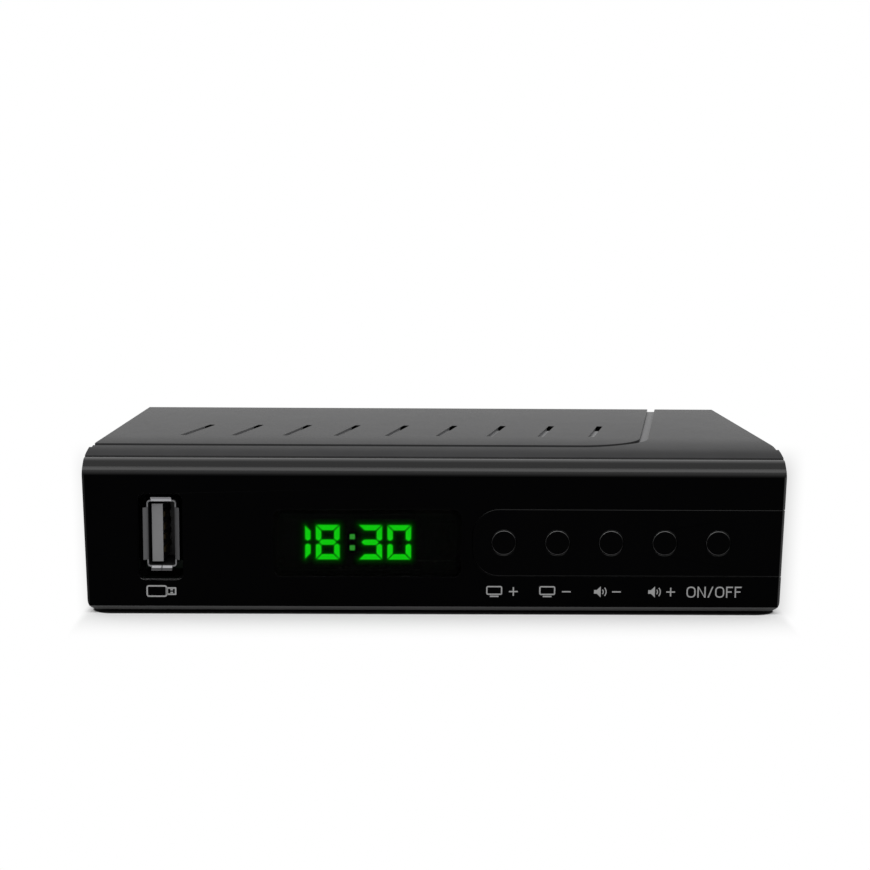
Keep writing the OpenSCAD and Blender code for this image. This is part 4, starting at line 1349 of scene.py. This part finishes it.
@dataclass
class Mounted:
    """Pieces that keep the finish of their slots, some of them with rounded edges."""

    rounded: tuple[str, ...]
    sharp: tuple[str, ...]
    edge: float = 0.1

    def dress(self, bench: Bench) -> None:
        """Finish the pieces.

        Args:
            bench: frame and materials.
        """
        for name in self.sharp:
            bench.dress(name)
        for name in self.rounded:
            bench.dress(name, self.edge)


@dataclass
class Boards(Mounted):
    """Both circuit boards and what is soldered to them."""

    rounded: tuple[str, ...] = (
        "front_board_screws",
        "main_board_screws",
        "ir_receiver",
        "front_socket",
        "main_socket",
        "tuner_frame",
        "tuner_lid",
        "crystal",
        "decoder_chip",
        "memory_chip",
        "flash_chip",
        "regulators",
        "heatsink",
        "capacitors",
        "inductors",
    )
    sharp: tuple[str, ...] = ("front_board", "main_board", "link_ribbon", "thermal_pad")


@dataclass
class RearSockets(Mounted):
    """Sockets that look out of the rear panel."""

    rounded: tuple[str, ...] = ("rf_in_sleeve", "rf_out_sleeve", "hdmi_shell", "av_jack", "dc_jack")
    sharp: tuple[str, ...] = (
        "rf_in_insulator",
        "rf_in_contact",
        "rf_out_insulator",
        "rf_out_pin",
        "hdmi_tongue",
        "dc_pin",
    )


def rounded(x: float, z: float, width: float, height: float, radius: float, steps: int) -> list[Point]:
    """Outline of a rounded rectangle.

    Args:
        x: centre across.
        z: centre upwards.
        width: size across.
        height: size upwards.
        radius: radius of its corners.
        steps: points on each corner.

    Returns:
        Its points, anticlockwise.
    """
    points = []
    corners = ((1, 1), (-1, 1), (-1, -1), (1, -1))
    for quarter, (right, up) in enumerate(corners):
        middle_x = x + right * (width / 2 - radius)
        middle_z = z + up * (height / 2 - radius)
        for step in range(steps):
            turn = math.radians(90.0 * quarter + (90.0 * step / (steps - 1) if steps > 1 else 45.0))
            points.append((middle_x + radius * math.cos(turn), middle_z + radius * math.sin(turn)))
    return points


class Stencil:
    """Flat shapes on the front face, cut out of a thin film."""

    corner_steps: int = 5
    least_radius: float = 0.02

    def __init__(self, x: float, z: float) -> None:
        """Start an empty stencil.

        Args:
            x: place of its own zero across the face.
            z: place of its own zero upwards.
        """
        self.mesh = bmesh.new()
        self.x = x
        self.z = z

    def _corners(self, outline: list[Point]) -> list[bmesh.types.BMVert]:
        """Vertices of an outline, on the plane of the face."""
        return [self.mesh.verts.new(((self.x + x) * MM, 0.0, (self.z + z) * MM)) for x, z in outline]

    def plate(self, outline: list[Point]) -> None:
        """Fill an outline."""
        self.mesh.faces.new(self._corners(outline))

    def band(self, outer: list[Point], inner: list[Point], closed: bool) -> None:
        """Fill the space between two outlines.

        Args:
            outer: points of one edge of the band.
            inner: as many points of the other edge.
            closed: whether the band joins up with its own start.
        """
        first = self._corners(outer)
        second = self._corners(inner)
        last = len(first) if closed else len(first) - 1
        for i in range(last):
            j = (i + 1) % len(first)
            self.mesh.faces.new((first[i], first[j], second[j], second[i]))

    def bar(self, x: float, z: float, width: float, height: float) -> None:
        """Fill a rectangle round a centre."""
        self.plate(rounded(x, z, width, height, radius=0.0, steps=1))

    def frame(self, x: float, z: float, width: float, height: float, radius: float, line: float) -> None:
        """Draw the outline of a rounded rectangle.

        Args:
            x: centre across.
            z: centre upwards.
            width: size across.
            height: size upwards.
            radius: radius of its corners.
            line: width of the line, which lies inside the outline.
        """
        inner_radius = max(radius - line, self.least_radius)
        outer = rounded(x, z, width, height, radius, self.corner_steps)
        inner = rounded(x, z, width - 2 * line, height - 2 * line, inner_radius, self.corner_steps)
        self.band(outer, inner, closed=True)

    def film(self, front: float, thickness: float) -> bmesh.types.BMesh:
        """Give the shapes their thickness.

        Args:
            front: Y of the face that carries the film, which stands out towards the front.
            thickness: thickness of the film.

        Returns:
            The finished mesh.
        """
        bmesh.ops.translate(self.mesh, verts=self.mesh.verts[:], vec=(0.0, front * MM, 0.0))
        thicken(self.mesh, thickness)
        return self.mesh


class Sign(Enum):
    """Sign after a pictogram."""

    PLUS = "plus"
    MINUS = "minus"


@dataclass
class Legends:
    """Generic marks printed under the buttons and the socket."""

    front: float = -42.25
    film: float = 0.02
    middle: float = 4.52
    height: float = 2.17
    line: float = 0.25
    sign_size: float = 1.7
    screens: tuple[tuple[str, float, Sign], ...] = (
        ("channel_up_mark", 13.0, Sign.PLUS),
        ("channel_down_mark", 23.25, Sign.MINUS),
    )
    screen_at: float = -1.5
    screen_sign: float = 2.2
    screen_width: float = 3.1
    screen_corner: float = 0.35
    foot_width: float = 3.1 * 0.55
    foot_height: float = 0.28
    foot_gap: float = 0.14
    speakers: tuple[tuple[str, float, Sign], ...] = (
        ("volume_down_mark", 33.4, Sign.MINUS),
        ("volume_up_mark", 43.9, Sign.PLUS),
    )
    speaker_at: float = -2.6
    speaker_sign: float = 1.75
    magnet_length: float = 0.55
    magnet_half: float = 0.36
    speaker_length: float = 1.3
    wave_centre: float = 1.15
    wave_radii: tuple[float, ...] = (0.75, 1.3)
    wave_line: float = 0.25 * 0.8
    wave_angle: float = 42.0
    wave_steps: int = 8
    power_at: float = 54.05
    letter_gap: float = 0.37
    letter_corner: float = 0.75
    slant_height: float = 0.25 * 1.2
    short_arm: float = 0.85
    arm_z: float = 0.05
    usb_at: Point = (-52.7, 4.4)
    stick_line: float = 0.28
    ink: Finish = Ink("grey_ink", (0.25, 0.25, 0.25))

    def build(self, bench: Bench) -> None:
        """Print every mark.

        Args:
            bench: frame and materials.
        """
        marks: list[tuple[str, Point, Callable[[Stencil], None]]] = []
        for name, x, sign in self.screens:
            marks.append((name, (x, self.middle), partial(self._screen, sign=sign)))
        for name, x, sign in self.speakers:
            marks.append((name, (x, self.middle), partial(self._speaker, sign=sign)))
        marks.append(("power_mark", (self.power_at, self.middle), self._on_off))
        marks.append(("usb_mark", self.usb_at, self._memory_stick))
        ink = self.ink.material(bench.effects)
        for name, place, draw in marks:
            stencil = Stencil(*place)
            draw(stencil)
            bench.add(name, stencil.film(self.front, self.film), ink)

    def _sign(self, stencil: Stencil, x: float, sign: Sign) -> None:
        """Draw a plus or a minus.

        Args:
            stencil: where it goes.
            x: its centre across.
            sign: which of the two it is.
        """
        stencil.bar(x, 0.0, self.sign_size, self.line)
        if sign is Sign.PLUS:
            arm = (self.sign_size - self.line) / 2
            for side in (-1, 1):
                stencil.bar(x, side * (self.line + arm) / 2, self.line, arm)

    def _screen(self, stencil: Stencil, sign: Sign) -> None:
        """Draw a television screen on its foot, and a sign.

        Args:
            stencil: where they go.
            sign: the sign after the screen.
        """
        under = self.foot_height + self.foot_gap
        tall = self.height - self.foot_height - self.foot_gap
        stencil.frame(self.screen_at, under / 2, self.screen_width, tall, self.screen_corner, self.line)
        foot_z = -(self.height - self.foot_height) / 2
        stencil.bar(self.screen_at, foot_z, self.foot_width, self.foot_height)
        self._sign(stencil, self.screen_sign, sign)

    def _speaker(self, stencil: Stencil, sign: Sign) -> None:
        """Draw a loudspeaker with its waves, and a sign.

        Args:
            stencil: where they go.
            sign: the sign after the loudspeaker.
        """
        back = self.speaker_at
        half = self.height / 2
        upper = [
            (back + self.speaker_length, half),
            (back + self.magnet_length, self.magnet_half),
            (back, self.magnet_half),
        ]
        lower = [(x, -z) for x, z in reversed(upper)]
        stencil.plate(lower + upper)
        for radius in self.wave_radii:
            outer = self._wave(radius)
            inner = self._wave(radius - self.wave_line)
            stencil.band(outer, inner, closed=False)
        self._sign(stencil, self.speaker_sign, sign)

    def _wave(self, radius: float) -> list[Point]:
        """Points on one edge of a wave in front of the loudspeaker.

        Args:
            radius: radius of the edge.

        Returns:
            Its points, upwards.
        """
        points = []
        for step in range(self.wave_steps + 1):
            turn = math.radians(-self.wave_angle + 2 * self.wave_angle * step / self.wave_steps)
            across = self.speaker_at + self.wave_centre + radius * math.cos(turn)
            points.append((across, radius * math.sin(turn)))
        return points

    def _on_off(self, stencil: Stencil) -> None:
        """Write ON/OFF in plain upright letters.

        Args:
            stencil: where they go.
        """
        widths = {"O": 1.75, "N": 1.6, "/": 1.1, "F": 1.3}
        text = "ON/OFF"
        x = -(sum(widths[letter] for letter in text) + self.letter_gap * (len(text) - 1)) / 2
        for letter in text:
            self._letter(stencil, letter, x, widths[letter])
            x += widths[letter] + self.letter_gap

    def _letter(self, stencil: Stencil, letter: str, x: float, width: float) -> None:
        """Draw one letter.

        Args:
            stencil: where it goes.
            letter: the letter, or the stroke between the words.
            x: its left edge.
            width: its width.
        """
        half = self.height / 2
        line = self.line
        right = x + width
        if letter == "O":
            stencil.frame(x + width / 2, 0.0, width, self.height, self.letter_corner, line)
        elif letter == "N":
            slant = half - self.slant_height
            low, high = x + line, right - line
            lower = [(x, -half), (low, -half), (low, slant), (high, -half), (right, -half)]
            upper = [(right, half), (high, half), (high, -slant), (low, half), (x, half)]
            stencil.plate(lower + upper)
        elif letter == "F":
            stem, short = x + line, x + width * self.short_arm
            under, over = self.arm_z - line / 2, self.arm_z + line / 2
            foot = [(x, -half), (stem, -half), (stem, under), (short, under)]
            arm = [(short, over), (stem, over), (stem, half - line)]
            stencil.plate(foot + arm + [(right, half - line), (right, half), (x, half)])
        else:
            stencil.plate([(x, -half), (x + line, -half), (right, half), (right - line, half)])

    def _memory_stick(self, stencil: Stencil) -> None:
        """Draw a memory stick with its plug to the right.

        Args:
            stencil: where it goes.
        """
        line = self.stick_line
        stencil.frame(x=-0.8, z=0.0, width=4.0, height=2.3, radius=0.5, line=line)
        stencil.frame(x=2.0, z=0.0, width=1.6 + line, height=1.5, radius=0.12, line=line)
        for side in (-1, 1):
            stencil.bar(x=2.05, z=side * 0.27, width=0.5, height=0.26)


@dataclass
class PhotoCamera:
    """Camera of the photograph, from a least squares fit of its edges."""

    x: float = -4.207
    y: float = -338.372
    z: float = 72.975
    yaw: float = -0.790
    pitch: float = 7.319
    roll: float = 0.361
    focal_pixels: float = 1566.887
    image_pixels: float = 870.0
    sensor: float = 36.0
    nearest: float = 10.0

    def build(self) -> None:
        """Place the camera and make it the scene's own."""
        data = bpy.data.cameras.new("photo_camera")
        data.sensor_width = self.sensor
        data.lens = self.focal_pixels / self.image_pixels * self.sensor
        data.clip_start = self.nearest * MM
        camera = placed("photo_camera", data)
        camera.location = Vector((self.x, self.y, self.z)) * MM
        turn = Matrix.Rotation(math.radians(self.yaw), 3, "Z")
        tilt = Matrix.Rotation(math.radians(90.0 - self.pitch), 3, "X")
        roll = Matrix.Rotation(math.radians(self.roll), 3, "Z")
        camera.rotation_mode = "QUATERNION"
        camera.rotation_quaternion = (turn @ tilt @ roll).to_quaternion()
        bpy.context.scene.camera = camera
        LOG.info("camera placed with a lens of %.2f mm", data.lens)


@dataclass
class Studio:
    """White floor, even surroundings and one wide soft light in front of and above the object.

    The cover is the floor under the case, painted dark as its shadow, the shadow is the one close to it,
    and the cast is a faint shadow painted behind it. Each side of the cast has the slope of its edge,
    and its blur as a share of the distance from the eye.
    """

    ambient: float = 0.73
    floor_side: float = 4000.0
    floor_parts: int = 8
    paper_tones: Span = (0.90, 0.92)
    paper_roughness: float = 0.9
    fibre_scale: float = 900.0
    cover_middle: float = -4.75
    cover_width: float = 132.6
    cover_depth: float = 74.8
    cover_corner: float = 4.0
    cover_edge: float = 0.4
    cover_painted_shadow: float = 0.02
    shadow_reach: float = 20.0
    shadow_squeeze: float = 10.0
    cast_eye: float = -338.4
    cast_front: float = -42.1
    cast_half: float = 66.8
    cast_start: Span = (-50.0, -38.0)
    cast_end: Span = (130.0, 215.0)
    painted_cast_tones: Span = (0.12, 0.25)
    cast_right: Span = (0.2457, 0.0128)
    cast_left: Span = (0.2174, 0.0080)
    cast_power: float = 1.5
    light_width: float = 1000.0
    light_depth: float = 330.0
    light_distance: float = 620.0
    light_elevation: float = 56.0
    light_aim: float = 15.0
    light_watts: float = 2.05

    def build(self) -> None:
        """Build the surroundings, the floor and the light."""
        bpy.context.scene.view_settings.view_transform = "Standard"
        self._world()
        self._floor()
        self._light()

    @staticmethod
    def _seen(wiring: Wiring) -> Socket:
        """Which rays look at the studio.

        Args:
            wiring: wiring of the world or of the floor's material.

        Returns:
            1 for rays from the camera, a mirror or glass, and 0 for light that is scattered.
        """
        path = wiring.node("ShaderNodeLightPath").outputs
        mirrored = wiring.larger(path["Is Glossy Ray"], path["Is Transmission Ray"])
        return wiring.larger(path["Is Camera Ray"], mirrored)

    def _world(self) -> None:
        """White to look at, and dimmer as a light."""
        world = bpy.data.worlds.new("white_surroundings")
        world.use_nodes = True
        bpy.context.scene.world = world
        wiring = Wiring(world.node_tree)
        strength = wiring.blend(self._seen(wiring), self.ambient, 1.0)
        wiring.fill(world.node_tree.nodes["Background"], {"Color": (*WHITE, 1.0), "Strength": strength})

    def _floor(self) -> None:
        """Wide flat floor of white paper."""
        mesh = bmesh.new()
        parts = {"x_segments": self.floor_parts, "y_segments": self.floor_parts}
        bmesh.ops.create_grid(mesh, size=self.floor_side / 2 * MM, **parts)
        floor = meshed("floor", mesh)
        floor.data.materials.append(self._paper())

    def _paper(self) -> bpy.types.Material:
        """White paper, painted dark under the case as its shadow, with a soft shadow that fades to plain
        white.

        Returns:
            The floor's material.
        """
        paper = bpy.data.materials.new("white_paper")
        paper.use_nodes = True
        nodes = paper.node_tree.nodes
        wiring = Wiring(paper.node_tree)
        fibres = wiring.noise(wiring.place(), self.fibre_scale, detail=3.0)
        white = wiring.mix(*(shaded(WHITE, tone) for tone in self.paper_tones), fibres)
        # Painted shadow: dark under the case, for rays from the camera only.
        near = wiring.ramp(self._away(wiring, self.cover_corner, 1.0), 0.0, self.cover_edge, 1.0, 0.0)
        shadow_under_case = wiring.times(near, wiring.node("ShaderNodeLightPath").outputs["Is Camera Ray"])
        tone = wiring.mix(white, shaded(WHITE, self.cover_painted_shadow), shadow_under_case)
        plain = {"Roughness": self.paper_roughness, "Specular IOR Level": 0.0}
        shaded_paper = wiring.fill(nodes["Principled BSDF"], {"Base Color": tone, **plain})["BSDF"]
        far = wiring.ramp(self._away(wiring, 0.0, self.shadow_squeeze), 0.0, self.shadow_reach)
        # Painted shadow behind the case, laid on the plain white.
        shining = {"Color": wiring.mix(WHITE, BLACK, self._painted_cast(wiring))}
        bright_paper = wiring.fill(wiring.node("ShaderNodeEmission"), shining)["Emission"]
        parts = {0: wiring.times(self._seen(wiring), far), 1: shaded_paper, 2: bright_paper}
        both = wiring.fill(wiring.node("ShaderNodeMixShader"), parts)["Shader"]
        wiring.fill(nodes["Material Output"], {"Surface": both})
        return paper

    def _away(self, wiring: Wiring, corner: float, squeeze: float) -> Socket:
        """Distance of a point of the floor from the outline of the case.

        Args:
            wiring: wiring of the floor's material.
            corner: radius of the outline's corners.
            squeeze: how many times as far the points at the sides count.

        Returns:
            The socket with the distance in millimetres.
        """
        centred = wiring.vector("SUBTRACT", wiring.spot(), (0.0, self.cover_middle, 0.0))
        half = (self.cover_width / 2 - corner, self.cover_depth / 2 - corner, 0.0)
        past = wiring.vector("SUBTRACT", wiring.vector("ABSOLUTE", centred), half)
        outside = wiring.vector("MAXIMUM", past, (0.0, 0.0, 0.0))
        counted = wiring.vector("MULTIPLY", outside, (squeeze, 1.0, 0.0))
        return wiring.minus(wiring.vector("LENGTH", counted), corner)

    def _painted_cast(self, wiring: Wiring) -> Socket:
        """Faint painted shadow on the floor behind the case, shaped as a lamp where the camera stands would
        cast it.

        Args:
            wiring: wiring of the floor's material.

        Returns:
            The socket with the shadow's strength.
        """
        where = wiring.where()
        starts = wiring.ramp(where["Y"], *self.cast_start)
        ends = wiring.ramp(where["Y"], *self.cast_end, 1.0, 0.0)
        behind = wiring.minus(where["Y"], self.cast_front)
        depth = wiring.minus(where["Y"], self.cast_eye)
        soft_sides = []
        for side, (slope, blur) in ((1.0, self.cast_right), (-1.0, self.cast_left)):
            edge = wiring.plus(wiring.times(behind, slope), self.cast_half)
            past = wiring.minus(wiring.times(where["X"], side), edge)
            outwards = wiring.larger(wiring.math("DIVIDE", past, depth), 0.0)
            left_over = wiring.minus(1.0, wiring.math("DIVIDE", outwards, blur))
            soft_sides.append(wiring.math("POWER", wiring.larger(left_over, 0.0), self.cast_power))
        strength = wiring.ramp(where["X"], -self.cast_half, self.cast_half, *self.painted_cast_tones)
        return wiring.times(starts, ends, *soft_sides, strength)

    def _light(self) -> None:
        """One wide soft box, aimed at the middle of the object."""
        data = bpy.data.lights.new("soft_box", "AREA")
        data.shape = "RECTANGLE"
        data.size = self.light_width * MM
        data.size_y = self.light_depth * MM
        data.energy = self.light_watts
        box = placed("soft_box", data)
        rise = math.radians(self.light_elevation)
        towards = Vector((0.0, -math.cos(rise), math.sin(rise)))
        box.location = Vector((0.0, 0.0, self.light_aim * MM)) + towards * self.light_distance * MM
        box.rotation_mode = "QUATERNION"
        box.rotation_quaternion = towards.to_track_quat("Z", "Y")


def main() -> None:
    """Load the frame, dress it, and build the pieces and the studio."""
    logging.basicConfig(level=logging.INFO, format="%(message)s")
    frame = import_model()
    bench = Bench(frame)
    PhotoCamera().build()
    Case().dress(bench)
    Front().dress(bench)
    Keys().dress(bench)
    clock = ClockDisplay()
    clock.dress(bench)
    clock.build(bench)
    UsbPort().dress(bench)
    Boards().dress(bench)
    RearSockets().dress(bench)
    Legends().build(bench)
    Studio().build()


if __name__ == "__main__":
    main()
